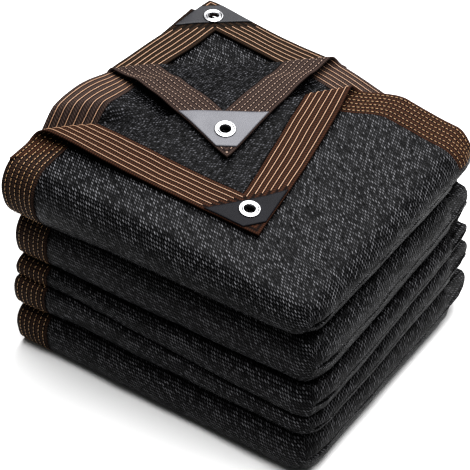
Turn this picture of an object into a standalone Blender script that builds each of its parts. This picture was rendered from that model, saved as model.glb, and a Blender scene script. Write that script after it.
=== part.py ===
"""A black knitted shade cloth, folded into a stack, with three of its bound corners turned out on top.

The stack is one back-and-forth solid of thick layers, each layer a bundle of plies. On top of it lie
the cloth's three topmost plies. Two of them are thin sheets with a corner folded back over a roll.
The third shows its own corner at the back. A binding tape follows the cloth's edge, and each of the
three corners has a vinyl patch with a metal eyelet.

Axes: +X runs along the front folds, +Y runs from the front folds to the back, +Z is up.
Sizes are in millimetres, and the objects are made in metres.
Names used below:
  pack     two layers joined by a rounded fold at the front
  slit     the thin gap inside a pack, open at the back and on the left
  leaf     one top ply with its corner, the outermost first
  across   distance from a leaf's corner along its back edge, towards +X
  along    distance from a leaf's corner along its side edge, towards -Y
"""

import math

import bmesh
import bpy
from mathutils import Matrix, Vector
from mathutils.geometry import delaunay_2d_cdt

MM = 0.001
FIT = 0.3  # gap between neighbouring solids

# The stack.
STACK_X = 345.0
STACK_Y = 300.0
RIGHT, LEFT = STACK_X / 2, -STACK_X / 2
FRONT, BACK = -STACK_Y / 2, STACK_Y / 2
LAYER_GAP = 1.6
POCKET_END = RIGHT - 34.0  # the slits end here, short of the rounded right side
SLIT_FRONT = 40.0  # the slits end this far behind a pack's nose
BACK_ROUND = 10.0
BACK_SLIT = 30.0  # the gaps between packs end this far before the back
BACK_ARC = 5
FRONT_ARC = 9
LAYER_STEPS = 6

# Packs, upwards. bottom and top are heights at the left end. nose is the foremost y at the left end,
# nose_height and end_height are its heights at the left and the right end, and inset is how much
# further back it lies at the right end. low_round and high_round are the depths of the curve below
# and above the nose. side_round is the depth of the rounded right side. side_front and side_back are
# how far the pack stays short of the right side at the front and at the back.
PACK_COLUMNS = ("bottom", "top", "nose", "nose_height", "end_height", "inset", "low_round", "high_round",
                "side_round", "side_front", "side_back")
PACK_ROWS = (
    (0.0, 48.0, -162.0, 28.0, 22.0, 0.0, 12.0, 16.0, 14.0, 0.0, -4.0),
    (48.0, 86.0, -160.0, 73.0, 62.0, 4.0, 14.0, 6.0, 11.0, 0.0, -3.0),
    (86.0, 108.0, -154.0, 98.0, 94.0, -1.0, 3.0, 13.0, 9.0, 0.0, -1.0),
    (108.0, 160.0, -152.0, 134.0, 124.0, 2.0, 12.0, 18.0, 15.0, 2.0, 3.0),
    (160.0, 232.0, -164.0, 203.0, 188.0, 14.0, 28.0, 25.0, 27.0, 10.0, 4.0),
)
PACKS = tuple(dict(zip(PACK_COLUMNS, row)) for row in PACK_ROWS)
TOP = PACKS[-1]["top"]
TOP_MIDDLE = (PACKS[-1]["bottom"] + TOP) / 2
SIDE_LEAST = 0.12  # share of a pack's height left at its right edge
DRAWN_IN = 22.0  # a pack's seams draw in by this towards the front, at the back right corner
DRAWN_SIDE = 1.35  # and by this share of side_round towards the left
DRAWN_BACK = (BACK - 52.0, BACK - 14.0)  # the drawing in starts and is whole here
DRAWN_FORWARD = (RIGHT - 50.0, RIGHT - 12.0)
DRAWN_LEFT = (RIGHT - 60.0, RIGHT)
SINK_BACK = (-10.0, 160.0)  # the back of the top sinks from here to here
LIFT_LEFT = (-160.0, -30.0)  # the corner's lift fades out to the right between these
LIFT_BACK = (-40.0, 25.0)  # and is whole at the back of these
CORNER_ROUND = 27.0  # the two right corners, seen from above
CORNER_NORMS = (8.0, 4.0)  # how square those corners are, front and back
CREASE_DROP = 15.0  # the crease between the second and third pack falls by this at the front corner
TOP_DROP_FRONT = 31.0  # the top is this much lower at the front right corner
TOP_DROP_BACK = 22.0  # and this much lower at the back right corner
CORNER_LIFT = 9.0  # and this much higher at the back left corner

# The binding tape and the cloth's top plies.
TAPE_WIDTH = 37.0
SHEET = 2.2
SHEET_EDGE = TAPE_WIDTH + 3 * FIT  # a top ply's knit starts this far from its edges
REBATE = 5.2  # depth of the seat for the tape on the stack's back edge
STEP_DEPTH = 11.2  # the stack's top drops by this behind the wall
WALL_OFFSET = 12.0  # the wall stands this far in front of the outer leaf's fold line
ROOT = 8.0  # how far a leaf runs into the stack
ROOT_STEPS = 7

# Each leaf: its corner, the height of its middle surface, the slopes of its side and back edge, the
# distance along its side edge after which that edge is straight, its fold line as distances along and
# across, the roll's radius at its left end, in the middle and at its right end, the height of the
# turned corner above the leaf, and the length over which it settles to it.
LEAF_COLUMNS = ("corner", "height", "slopes", "straight", "fold", "roll", "rest", "ease")
LEAF_ROWS = (
    ((LEFT, 136.5), TOP - 1.5, (0.0, 0.065), 190.0, (266.0, 227.5), (7.0, 4.6, 7.0), 5.4, 90.0),
    ((-191.0, 183.0), TOP - 4.9, (-0.11, 0.149), 190.0, (183.0, 209.0), (2.6, 5.0, 6.5), 4.0, 60.0),
    ((-161.0, 168.0), TOP - 8.3, (0.10, 0.06), 150.0, None, (0.0, 0.0, 0.0), 0.0, 1.0),
)
LEAVES = tuple(dict(zip(LEAF_COLUMNS, row)) for row in LEAF_ROWS)
OUTER, SECOND, THIRD = LEAVES
THIRD_TAPE = 175.0  # length of the third leaf's tape along each edge, the rest is under the second
# The outer leaf's back edge joins the stack's between these distances across, near the edge only.
REJOIN_ACROSS = (205.0, 262.0)
REJOIN_ALONG = (40.0, 190.0)
REJOIN_CUTS = (205.0, 214.5, 224.0, 233.5, 243.0, 252.5, 262.0)  # the strip is divided here

# The second leaf's bulge at its side edge, between the two folds: its sizes to the right, to the
# front and to the back.
BULGE_HEIGHT = 26.0
BULGE_AT = (LEFT, -60.0)
BULGE_SIZES = (75.0, 90.0, 70.0)
BULGE_POWER = 1.2
BULGE_FADE = (6.0, 30.0)  # it starts and is whole at these distances behind the outer fold line
# Height of the second leaf's turned corner by its distance behind the outer leaf's fold line.
COVER = ((-200.0, 243.6), (-60.0, 243.6), (-34.0, 244.2), (-14.0, 245.4), (10.0, 245.4), (45.0, 241.5),
         (80.0, 239.0), (300.0, 238.5))

# The corner fittings.
PATCH_TIP = 17.0  # the patch starts this far from the corner, along each edge
PATCH_LEG = 66.0  # and ends here
PATCH_EDGE = 1.0  # its distance from the tape's outer edges
PATCH_WALL = 1.2
PATCH_GAP = 0.9
EYELET_INSET = 22.0
EYELET_OUTER = 11.0
EYELET_INNER = 5.0
EYELET_BARREL = 5.6
EYELET_FLANGE = 1.0
HOLE_GAP = 1.5
HOLE_SIDES = 16
EYELET_SIDES = 32

# Mesh spacing on the top plies.
SHEET_STEP = 27.0
SHEET_CLEAR = 6.0
HOLE_CLEAR = 18.0
HOLE_RING = 14.5  # a leaf's mesh has a ring of this radius round its hole
ROLL_STEPS = 7
ROWS_TURNED = (7.0, 18.0, 32.0, 48.0, 68.0, 90.0, 115.0)  # rows beyond the roll, on the turned corner
ROWS_BELOW = (7.0, 16.0, 26.0, 36.0, 46.0, 56.0, 66.0, 76.0, 86.0, 96.0, 106.0)  # and on the rest
FLAT_NEAR = 17.0  # a leaf is flat this far around its eyelet
FLAT_FAR = 34.0  # and has its own shape from here
# The tape's seat on the stack's back edge is divided at these distances from the right and the back.
SEAT_X = (90.0, 76.0, 62.0, 49.0, 38.0, 30.0, 22.5, 15.5, 10.0, 5.7, 2.5)
SEAT_Y = (35.0, 28.0, 20.0, 12.0, 6.0, 2.0)
FAR = 900.0


def smooth(low, high, value):
    """0 at low, 1 at high, and a smooth step between."""
    share = min(1.0, max(0.0, (value - low) / (high - low)))
    return share * share * (3 - 2 * share)


def follow(table, value):
    """A smooth curve through a table of (position, height)."""
    for (low, start), (high, end) in zip(table, table[1:]):
        if value <= high:
            return start + (end - start) * smooth(low, high, value)
    return table[-1][1]


def pack_at(z):
    """The pack a height belongs to."""
    for pack in PACKS:
        if z <= pack["top"]:
            return pack
    return PACKS[-1]


def settle(point):
    """Move a point of the squared-up stack to where it lies in the settled one."""
    x, y, z = point
    pack = pack_at(z)
    toward_right = smooth(LEFT + 30, RIGHT + 20, x)
    toward_front = smooth(BACK, FRONT, y)

    # Each pack closes in a rounded edge on the right, and in a rounded corner at the back.
    depth = pack["side_round"]
    reach = min(1.0, max(0.0, (x - RIGHT + depth) / depth))
    share = SIDE_LEAST + (1 - SIDE_LEAST) * math.sqrt(1 - reach * reach)
    middle = (pack["bottom"] + pack["top"]) / 2
    drawn = 0.0
    if z < TOP_MIDDLE:
        seam = min(1.0, abs(z - middle) * 2 / (pack["top"] - pack["bottom"]))
        at_back = smooth(*DRAWN_BACK, y)
        drawn = (1 - math.sqrt(1 - seam * seam)) * at_back
        share += (1 - share) * at_back
        y -= DRAWN_IN * drawn * smooth(*DRAWN_FORWARD, x)
    z = middle + (z - middle) * share
    short = pack["side_back"] + (pack["side_front"] - pack["side_back"]) * toward_front
    x -= short * smooth(LEFT + 60, RIGHT, x)
    x -= DRAWN_SIDE * depth * drawn * smooth(*DRAWN_LEFT, x)

    # The right corners are round, seen from above.
    over_x = (x - RIGHT + short + CORNER_ROUND) / CORNER_ROUND
    front = pack["nose"] + pack["inset"]
    for over_y, sign, edge, norm in (((front + CORNER_ROUND - y) / CORNER_ROUND, -1, front, CORNER_NORMS[0]),
                                     ((y - BACK + CORNER_ROUND) / CORNER_ROUND, 1, BACK, CORNER_NORMS[1])):
        if over_x > 0 and over_y > 0:
            pull = (over_x ** norm + over_y ** norm) ** (1 / norm) / math.hypot(over_x, over_y)
            x = RIGHT - short - CORNER_ROUND * (1 - over_x * pull)
            y = edge - sign * CORNER_ROUND * (1 - over_y * pull)

    # The top sinks towards the right and rises at the back left, and one crease drops at the front.
    top_share = min(1.0, max(0.0, (z - PACKS[-1]["bottom"]) / (TOP - PACKS[-1]["bottom"])))
    sink_front = TOP_DROP_FRONT * toward_right
    sink_back = TOP_DROP_BACK * smooth(*SINK_BACK, x)
    lift = CORNER_LIFT * (1 - smooth(*LIFT_LEFT, x)) * smooth(*LIFT_BACK, y)
    z += (lift - sink_back - (sink_front - sink_back) * toward_front) * top_share
    crease = PACKS[1]["top"]
    if PACKS[1]["bottom"] < z < PACKS[3]["bottom"]:
        limit = PACKS[1]["bottom"] if z < crease else PACKS[3]["bottom"]
        z -= CREASE_DROP * toward_right * toward_front * (z - limit) / (crease - limit)
    return Vector((x, y, z))


def make_object(name, verts, faces, material):
    """One object from points in millimetres, faces turned outward."""
    mesh = bpy.data.meshes.new(name)
    mesh.from_pydata([Vector(vert) * MM for vert in verts], [], faces)
    work = bmesh.new()
    work.from_mesh(mesh)
    bmesh.ops.recalc_face_normals(work, faces=work.faces[:])
    bmesh.ops.triangulate(work, faces=work.faces[:])
    work.to_mesh(mesh)
    work.free()
    item = bpy.data.objects.new(name, mesh)
    bpy.context.scene.collection.objects.link(item)
    if material:
        mesh.materials.append(material)
    return item


def make_material(name, color, roughness, metallic):
    """A plain Principled material."""
    material = bpy.data.materials.new(name)
    material.use_nodes = True
    shader = material.node_tree.nodes["Principled BSDF"]
    shader.inputs["Base Color"].default_value = (*color, 1.0)
    shader.inputs["Roughness"].default_value = roughness
    shader.inputs["Metallic"].default_value = metallic
    return material


def section(x):
    """The stack's ribbon at one station.

    Returns the slit side and the outer side as matching (y, z) points, and for each pack the first
    and last point of the slit side that border its slit.
    """
    to_right = (x - LEFT) / STACK_X
    inner, outer, slits = [], [], []
    last = len(PACKS) - 1
    for number, pack in enumerate(PACKS):
        low = pack["bottom"] + (LAYER_GAP / 2 if number else 0.0)
        high = pack["top"] - (LAYER_GAP / 2 if number < last else 0.0)
        middle = (low + high) / 2
        nose = pack["nose"] + pack["inset"] * to_right
        nose_height = pack["nose_height"] + (pack["end_height"] - pack["nose_height"]) * smooth(0, 1, to_right)
        slit_front = nose + SLIT_FRONT
        first = len(inner)
        back_low = (BACK - BACK_ROUND, BACK - BACK_SLIT if number else BACK - BACK_ROUND)
        back_high = (BACK - BACK_ROUND if number < last else BACK,
                     BACK - BACK_SLIT if number < last else BACK)
        for step in range(LAYER_STEPS + 1):
            share = step / LAYER_STEPS
            inner.append((back_low[0] + (slit_front - back_low[0]) * share, middle - LAYER_GAP / 2))
            outer.append((back_low[1] + (nose + pack["low_round"] - back_low[1]) * share, low))
        for step in range(1, FRONT_ARC + 1):
            angle = math.pi * (step / (FRONT_ARC + 1) - 0.5)
            lean, rise = math.cos(angle), math.sin(angle)
            inner.append((slit_front - LAYER_GAP / 2 * lean, middle + LAYER_GAP / 2 * rise))
            depth = pack["low_round"] if rise < 0 else pack["high_round"]
            height = nose_height - low if rise < 0 else high - nose_height
            outer.append((nose + depth * (1 - lean), nose_height + height * rise))
        for step in range(LAYER_STEPS + 1):
            share = 1 - step / LAYER_STEPS
            inner.append((back_high[0] + (slit_front - back_high[0]) * share, middle + LAYER_GAP / 2))
            outer.append((back_high[1] + (nose + pack["high_round"] - back_high[1]) * share, high))
        slits.append((first, len(inner) - 1))
        if number < last:
            above = PACKS[number + 1]
            next_low = above["bottom"] + LAYER_GAP / 2
            next_high = above["top"] - (LAYER_GAP / 2 if number + 1 < last else 0.0)
            start, end = middle + LAYER_GAP / 2, (next_low + next_high) / 2 - LAYER_GAP / 2
            for step in range(1, BACK_ARC + 1):
                angle = math.pi * (step / (BACK_ARC + 1) - 0.5)
                lean, rise = math.cos(angle), math.sin(angle)
                inner.append((BACK - BACK_ROUND * (1 - lean),
                              (start + end) / 2 + (end - start) / 2 * rise))
                outer.append((BACK - BACK_SLIT + LAYER_GAP / 2 * lean,
                              pack["top"] + LAYER_GAP / 2 * rise))
    return inner, outer, slits


def stack_solid(name, stations, pockets_end):
    """The stack between the first and last station, its slits ending at one of them."""
    verts, faces = [], []
    rings = []
    for x in stations:
        inner, outer, slits = section(x)
        start = len(verts)
        verts += [(x, y, z) for y, z in inner + outer]
        rings.append((start, start + len(inner)))
    count = len(inner)
    sealed = [stations.index(pockets_end) if pockets_end in stations else len(stations)]
    for number in range(len(stations) - 1):
        (in_a, out_a), (in_b, out_b) = rings[number], rings[number + 1]
        for point in range(count - 1):
            in_slit = any(first <= point < end for first, end in slits)
            if not (in_slit and number >= sealed[0]):
                faces.append((in_a + point, in_a + point + 1, in_b + point + 1, in_b + point))
            faces.append((out_a + point, out_b + point, out_b + point + 1, out_a + point + 1))
        for point in (0, count - 1):
            faces.append((in_a + point, out_a + point, out_b + point, in_b + point))
        if number >= sealed[0]:
            for first, end in slits:
                faces.append((in_a + first, in_b + first, in_b + end, in_a + end))

    def slit_caps(ring):
        for first, end in slits:
            for step in range((end - first) // 2):
                low, high = first + step, end - step
                corners = (low, low + 1, high - 1, high)
                faces.append(tuple(ring + point for point in dict.fromkeys(corners)))

    for number, (ring_in, ring_out) in ((0, rings[0]), (1, rings[-1])):
        for point in range(count - 1):
            faces.append((ring_in + point, ring_in + point + 1, ring_out + point + 1, ring_out + point))
        if number and sealed[0] < len(stations):
            slit_caps(ring_in)
    if sealed[0] < len(stations):
        slit_caps(rings[sealed[0]][0])
    return make_object(name, verts, faces, None)


def grid_prism(name, corners, low, high, cuts_x, cuts_y):
    """An upright prism on a triangle or rectangle, divided at some x and y for bending."""
    work = bmesh.new()
    floor = [work.verts.new((x * MM, y * MM, low * MM)) for x, y in corners]
    base = work.faces.new(floor)
    solid = bmesh.ops.extrude_face_region(work, geom=[base])
    bmesh.ops.translate(work, vec=(0, 0, (high - low) * MM),
                        verts=[item for item in solid["geom"] if isinstance(item, bmesh.types.BMVert)])
    bmesh.ops.recalc_face_normals(work, faces=work.faces[:])
    for axis, cuts in ((0, cuts_x), (1, cuts_y)):
        for cut in cuts:
            point, normal = [0.0, 0.0, 0.0], [0.0, 0.0, 0.0]
            point[axis] = cut * MM
            normal[axis] = 1.0
            bmesh.ops.bisect_plane(work, geom=work.verts[:] + work.edges[:] + work.faces[:],
                                   plane_co=point, plane_no=normal)
    mesh = bpy.data.meshes.new(name)
    work.to_mesh(mesh)
    work.free()
    item = bpy.data.objects.new(name, mesh)
    bpy.context.scene.collection.objects.link(item)
    return item


def fold_line(leaf):
    """Direction away from the corner, square to the fold line, and the line's distance."""
    along, across = leaf["fold"]
    length = math.hypot(along, across)
    return along / length, across / length, along * across / length


def leaf_xy(leaf, across, along):
    """Where a flat point of a leaf lies, seen from above."""
    side, back = leaf["slopes"]
    edge = leaf["corner"][1] - back * across
    if leaf is OUTER:
        edge += (BACK - edge) * smooth(*REJOIN_ACROSS, across) * (1 - smooth(*REJOIN_ALONG, along))
    return leaf["corner"][0] + across - side * min(along, leaf["straight"]), edge - along


def fold_run():
    """The outer leaf's fold line seen from above: its left end and its direction to the right."""
    along, across = OUTER["fold"]
    left = Vector((OUTER["corner"][0], OUTER["corner"][1] - along))
    right = Vector((OUTER["corner"][0] + across, OUTER["corner"][1] - OUTER["slopes"][1] * across))
    return left, (right - left).normalized()


def behind_fold(x, y):
    """Distance behind the outer leaf's fold line, seen from above."""
    left, run = fold_run()
    return run.x * (y - left.y) - run.y * (x - left.x)


def bulge(x, y):
    """Extra height of the second leaf between the folds, none near the outer roll."""
    off_x = (x - BULGE_AT[0]) / BULGE_SIZES[0]
    off_y = y - BULGE_AT[1]
    off_y /= BULGE_SIZES[1] if off_y < 0 else BULGE_SIZES[2]
    shape = math.exp(-off_x ** 2) * max(0.0, 1 - off_y ** 2) ** BULGE_POWER
    return BULGE_HEIGHT * shape * smooth(*BULGE_FADE, behind_fold(x, y))


def leaf_point(leaf, across, along):
    """A point of a leaf's middle surface and the direction of its upper side, before settling."""
    lift, tip, flat = 0.0, 0.0, 1.0
    turned = 0.0
    if leaf["fold"]:
        out_u, out_v, distance = fold_line(leaf)
        ahead = distance - (across * out_u + along * out_v)
        if ahead > 0:
            length = math.hypot(*leaf["fold"])
            place = (across * out_v - along * out_u) / length
            end_radius = leaf["roll"][0] if place < 0 else leaf["roll"][2]
            radius = leaf["roll"][1] + (end_radius - leaf["roll"][1]) * min(1.0, abs(2 * place)) ** 2
            angle = min(math.pi, ahead / radius)
            beyond = max(0.0, ahead - math.pi * radius)
            turned = smooth(0, leaf["ease"], beyond)
            lift = radius * (1 - math.cos(angle)) - (2 * radius - leaf["rest"]) * turned
            moved = ahead - radius * math.sin(angle) + beyond
            across += moved * out_u
            along += moved * out_v
            tip, flat = math.sin(angle), math.cos(angle)
            if beyond > 0:
                tip, flat = 0.0, -1.0
    x, y = leaf_xy(leaf, across, along)
    z = leaf["height"] + lift
    if leaf is SECOND:
        rise = bulge(x, y)
        if turned > 0:
            covered = max(z + rise, follow(COVER, behind_fold(x, y)) + 0.6 * rise)
            z += (covered - z) * smooth(0, 0.35, turned) + rise * (1 - smooth(0, 0.35, turned))
        else:
            z += rise
    normal = Vector((0.0, 0.0, flat))
    if tip:
        normal += Vector((tip * out_u, -tip * out_v, 0.0))
    return Vector((x, y, z)), normal


def eyelet_seat(leaf):
    """The flat spot around a leaf's eyelet: centre, steps across and along, and the upper direction."""
    centre, up = leaf_point(leaf, EYELET_INSET, EYELET_INSET)
    centre = settle(centre)
    across = settle(leaf_point(leaf, EYELET_INSET + FLAT_NEAR, EYELET_INSET)[0]) - centre
    along = settle(leaf_point(leaf, EYELET_INSET, EYELET_INSET + FLAT_NEAR)[0]) - centre
    axis = across.cross(along).normalized()
    if axis.dot(up) < 0:
        axis.negate()
    return centre, across / FLAT_NEAR, along / FLAT_NEAR, axis


def inside(point, outline):
    """Whether a point lies within a closed outline."""
    found = False
    x, y = point
    for (ax, ay), (bx, by) in zip(outline, outline[1:] + outline[:1]):
        if (ay > y) != (by > y) and x < (bx - ax) * (y - ay) / (by - ay) + ax:
            found = not found
    return found


def clearance(point, outline):
    """Distance from a point to an outline."""
    best = FAR
    for start, end in zip(outline, outline[1:] + outline[:1]):
        span = Vector(end) - Vector(start)
        share = max(0.0, min(1.0, (Vector(point) - Vector(start)).dot(span) / span.length_squared))
        best = min(best, (Vector(point) - Vector(start) - span * share).length)
    return best


def sheet_rows(leaf):
    """Distances from the corner, square to the fold line, at which a leaf's mesh has a row."""
    if not leaf["fold"]:
        return [20.0 * step for step in range(4, 15)]
    distance = fold_line(leaf)[2]
    round_length = math.pi * (leaf["roll"][1] + leaf["roll"][2]) / 2
    rows = [distance - round_length * step / ROLL_STEPS for step in range(ROLL_STEPS + 1)]
    rows += [distance - round_length - step for step in ROWS_TURNED]
    rows += [distance + step for step in ROWS_BELOW]
    return sorted(row for row in rows if row > 30)


def sheet_solid(leaf, outline, holes, low, high, seat_lines=None):
    """Points and faces of a thin solid between two distances from a leaf's middle surface.

    The outline, the holes and any extra mesh lines are (across, along) points.
    """
    if leaf["fold"]:
        out_u, out_v, _ = fold_line(leaf)
    else:
        out_u = out_v = math.sqrt(0.5)
    points, edges = [], []
    for loop in [outline] + holes:
        start = len(points)
        points += [Vector(point) for point in loop]
        edges += [(start + step, start + (step + 1) % len(loop)) for step in range(len(loop))]
    centres = [sum((Vector(point) for point in hole), Vector((0, 0))) / len(hole) for hole in holes]
    for centre, hole in zip(centres, holes):
        start = len(points)
        points += [centre + (Vector(point) - centre).normalized() * HOLE_RING for point in hole]
        edges += [(start + step, start + (step + 1) % len(hole)) for step in range(len(hole))]
    for row in sheet_rows(leaf):
        line = [-FAR]
        for number in range(-16, 17):
            spot = number * SHEET_STEP
            point = Vector((row * out_u + spot * out_v, row * out_v - spot * out_u))
            if inside(point, outline) and clearance(point, outline) > SHEET_CLEAR:
                if all((point - centre).length > HOLE_CLEAR for centre in centres):
                    line.append(spot)
        line.append(FAR)
        start = len(points)
        points += [Vector((row * out_u + spot * out_v, row * out_v - spot * out_u)) for spot in line]
        for step in range(len(line) - 1):
            first, second = points[start + step], points[start + step + 1]
            span = second - first
            near = [first + span * max(0.0, min(1.0, (centre - first).dot(span) / span.length_squared))
                    for centre in centres]
            if all((spot - centre).length > HOLE_CLEAR - 3 for spot, centre in zip(near, centres)):
                edges.append((start + step, start + step + 1))
    for line in seat_lines if seat_lines else []:
        start = len(points)
        points += [Vector(point) for point in line]
        edges += [(start + step, start + step + 1) for step in range(len(line) - 1)]
    flat, _, cells, *_ = delaunay_2d_cdt(points, edges, [], 0, 1e-5)
    kept = []
    for cell in cells:
        centre = sum((flat[corner] for corner in cell), Vector((0, 0))) / len(cell)
        if inside(centre, outline) and not any(inside(centre, hole) for hole in holes):
            kept.append(tuple(cell))
    used = sorted({corner for cell in kept for corner in cell})
    seat = eyelet_seat(leaf)
    place = {corner: number for number, corner in enumerate(used)}
    lower, upper = [], []
    for corner in used:
        point, normal = leaf_point(leaf, *flat[corner])
        away = (flat[corner] - Vector((EYELET_INSET, EYELET_INSET))).length
        own = smooth(FLAT_NEAR, FLAT_FAR, away)
        step_u, step_v = flat[corner] - Vector((EYELET_INSET, EYELET_INSET))
        level = seat[0] + seat[1] * step_u + seat[2] * step_v
        for side, offset in ((lower, low), (upper, high)):
            side.append((level + seat[3] * offset).lerp(settle(point + normal * offset), own))
    faces, sides = [], {}
    for cell in kept:
        ring = [place[corner] for corner in cell]
        faces.append(tuple(len(used) + corner for corner in ring))
        faces.append(tuple(reversed(ring)))
        for first, second in zip(ring, ring[1:] + ring[:1]):
            if (second, first) in sides:
                del sides[(second, first)]
            else:
                sides[(first, second)] = True
    for first, second in sides:
        faces.append((first, second, len(used) + second, len(used) + first))
    return lower + upper, faces


def reach_wall(leaf, fixed, fixed_is_across, margin):
    """Where a leaf's line of constant across, or along, meets the wall, short of it by the margin."""
    low, high = 0.0, 2 * STACK_X
    for _ in range(60):
        middle = (low + high) / 2
        spot = leaf_xy(leaf, fixed, middle) if fixed_is_across else leaf_xy(leaf, middle, fixed)
        if behind_fold(*spot) > -WALL_OFFSET + margin:
            low = middle
        else:
            high = middle
    return (low + high) / 2


def hole_loop(radius):
    """The eyelet's hole in a leaf or a patch."""
    return [(EYELET_INSET + radius * math.cos(math.tau * step / HOLE_SIDES),
             EYELET_INSET + radius * math.sin(math.tau * step / HOLE_SIDES)) for step in range(HOLE_SIDES)]


def knit_outline(leaf):
    """A leaf's knit: from its tape to its root inside the stack."""
    edge = SHEET_EDGE
    far = reach_wall(leaf, edge, False, -ROOT)
    root = [edge + (far - edge) * step / ROOT_STEPS for step in range(ROOT_STEPS)]
    cuts = [cut for cut in reversed(REJOIN_CUTS) if leaf is OUTER and cut < far - 1]
    return ([(edge + 3, edge), (edge, edge + 3)]
            + [(across, reach_wall(leaf, across, True, -ROOT)) for across in root]
            + [(far, edge)] + [(cut, edge) for cut in cuts])


def tape_outline(leaf):
    """A leaf's tape: an angle along both edges, up to the wall."""
    wide = TAPE_WIDTH
    if leaf is THIRD:
        return [(0, 0), (0, THIRD_TAPE), (wide, THIRD_TAPE), (wide, wide), (THIRD_TAPE, wide), (THIRD_TAPE, 0)]
    margin = FIT if leaf is OUTER else 2.0
    side = [(0, 0), (0, reach_wall(leaf, 0, True, margin)), (wide, reach_wall(leaf, wide, True, margin)),
            (wide, wide)]
    if leaf is OUTER:
        end = STACK_X - SEAT_X[-1]
        return (side + [(cut, wide) for cut in REJOIN_CUTS] + [(end, wide), (end, 0)]
                + [(cut, 0) for cut in reversed(REJOIN_CUTS)])
    return side + [(reach_wall(leaf, wide, False, margin), wide), (reach_wall(leaf, 0, False, margin), 0)]


def patch_outline():
    """A corner patch: a triangle across the corner with its point cut off."""
    tip, leg, edge = PATCH_TIP, PATCH_LEG, PATCH_EDGE
    return [(tip, edge), (edge, tip), (edge, leg), (leg, edge)]


def joined(item, other, operation):
    """Join or cut the first solid with the second, and drop the second."""
    change = item.modifiers.new("change", "BOOLEAN")
    change.operation = operation
    change.solver = "EXACT"
    change.object = other
    graph = bpy.context.evaluated_depsgraph_get()
    mesh = bpy.data.meshes.new_from_object(item.evaluated_get(graph))
    item.modifiers.clear()
    item.data = mesh
    bpy.data.objects.remove(other)


def settle_object(item):
    """Triangulate a squared-up solid and move its points to the settled shape."""
    work = bmesh.new()
    work.from_mesh(item.data)
    bmesh.ops.triangulate(work, faces=work.faces[:])
    for vert in work.verts:
        vert.co = settle(vert.co / MM) * MM
    work.to_mesh(item.data)
    work.free()


def eyelet_ring(name, leaf, material):
    """A two-part eyelet through a leaf's corner, with a flange on either side."""
    centre, _, _, axis = eyelet_seat(leaf)
    if leaf["fold"]:
        axis = -axis
    face = SHEET / 2 + PATCH_GAP + PATCH_WALL + FIT
    back = -SHEET / 2 - FIT
    outer, inner, barrel, wall = EYELET_OUTER, EYELET_INNER, EYELET_BARREL, EYELET_FLANGE
    profile = [(inner, back - wall), (outer - 0.6, back - wall), (outer, back - wall / 2),
               (outer - 0.3, back), (barrel, back), (barrel, face), (outer - 0.3, face),
               (outer, face + wall / 2), (outer - 1.4, face + wall), (inner + 2.2, face + wall + 0.2),
               (inner + 0.5, face + wall - 0.2), (inner, face)]
    verts, faces = [], []
    for step in range(EYELET_SIDES):
        angle = math.tau * step / EYELET_SIDES
        verts += [(radius * math.cos(angle), radius * math.sin(angle), height) for radius, height in profile]
    count = len(profile)
    for step in range(EYELET_SIDES):
        here, there = step * count, (step + 1) % EYELET_SIDES * count
        for point in range(count):
            after = (point + 1) % count
            faces.append((here + point, here + after, there + after, there + point))
    item = make_object(name, verts, faces, material)
    item.matrix_world = Matrix.Translation(centre * MM) @ axis.to_track_quat("Z", "X").to_matrix().to_4x4()
    return item


def centre_plan():
    """Move every piece so that the middle of the whole outline, seen from above, is at the origin."""
    spots = [item.matrix_world @ vert.co for item in bpy.data.objects for vert in item.data.vertices]
    middle = Vector([(min(spot[axis] for spot in spots) + max(spot[axis] for spot in spots)) / 2
                     for axis in (0, 1)] + [0.0])
    for item in bpy.data.objects:
        item.matrix_world = Matrix.Translation(-middle) @ item.matrix_world


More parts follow.
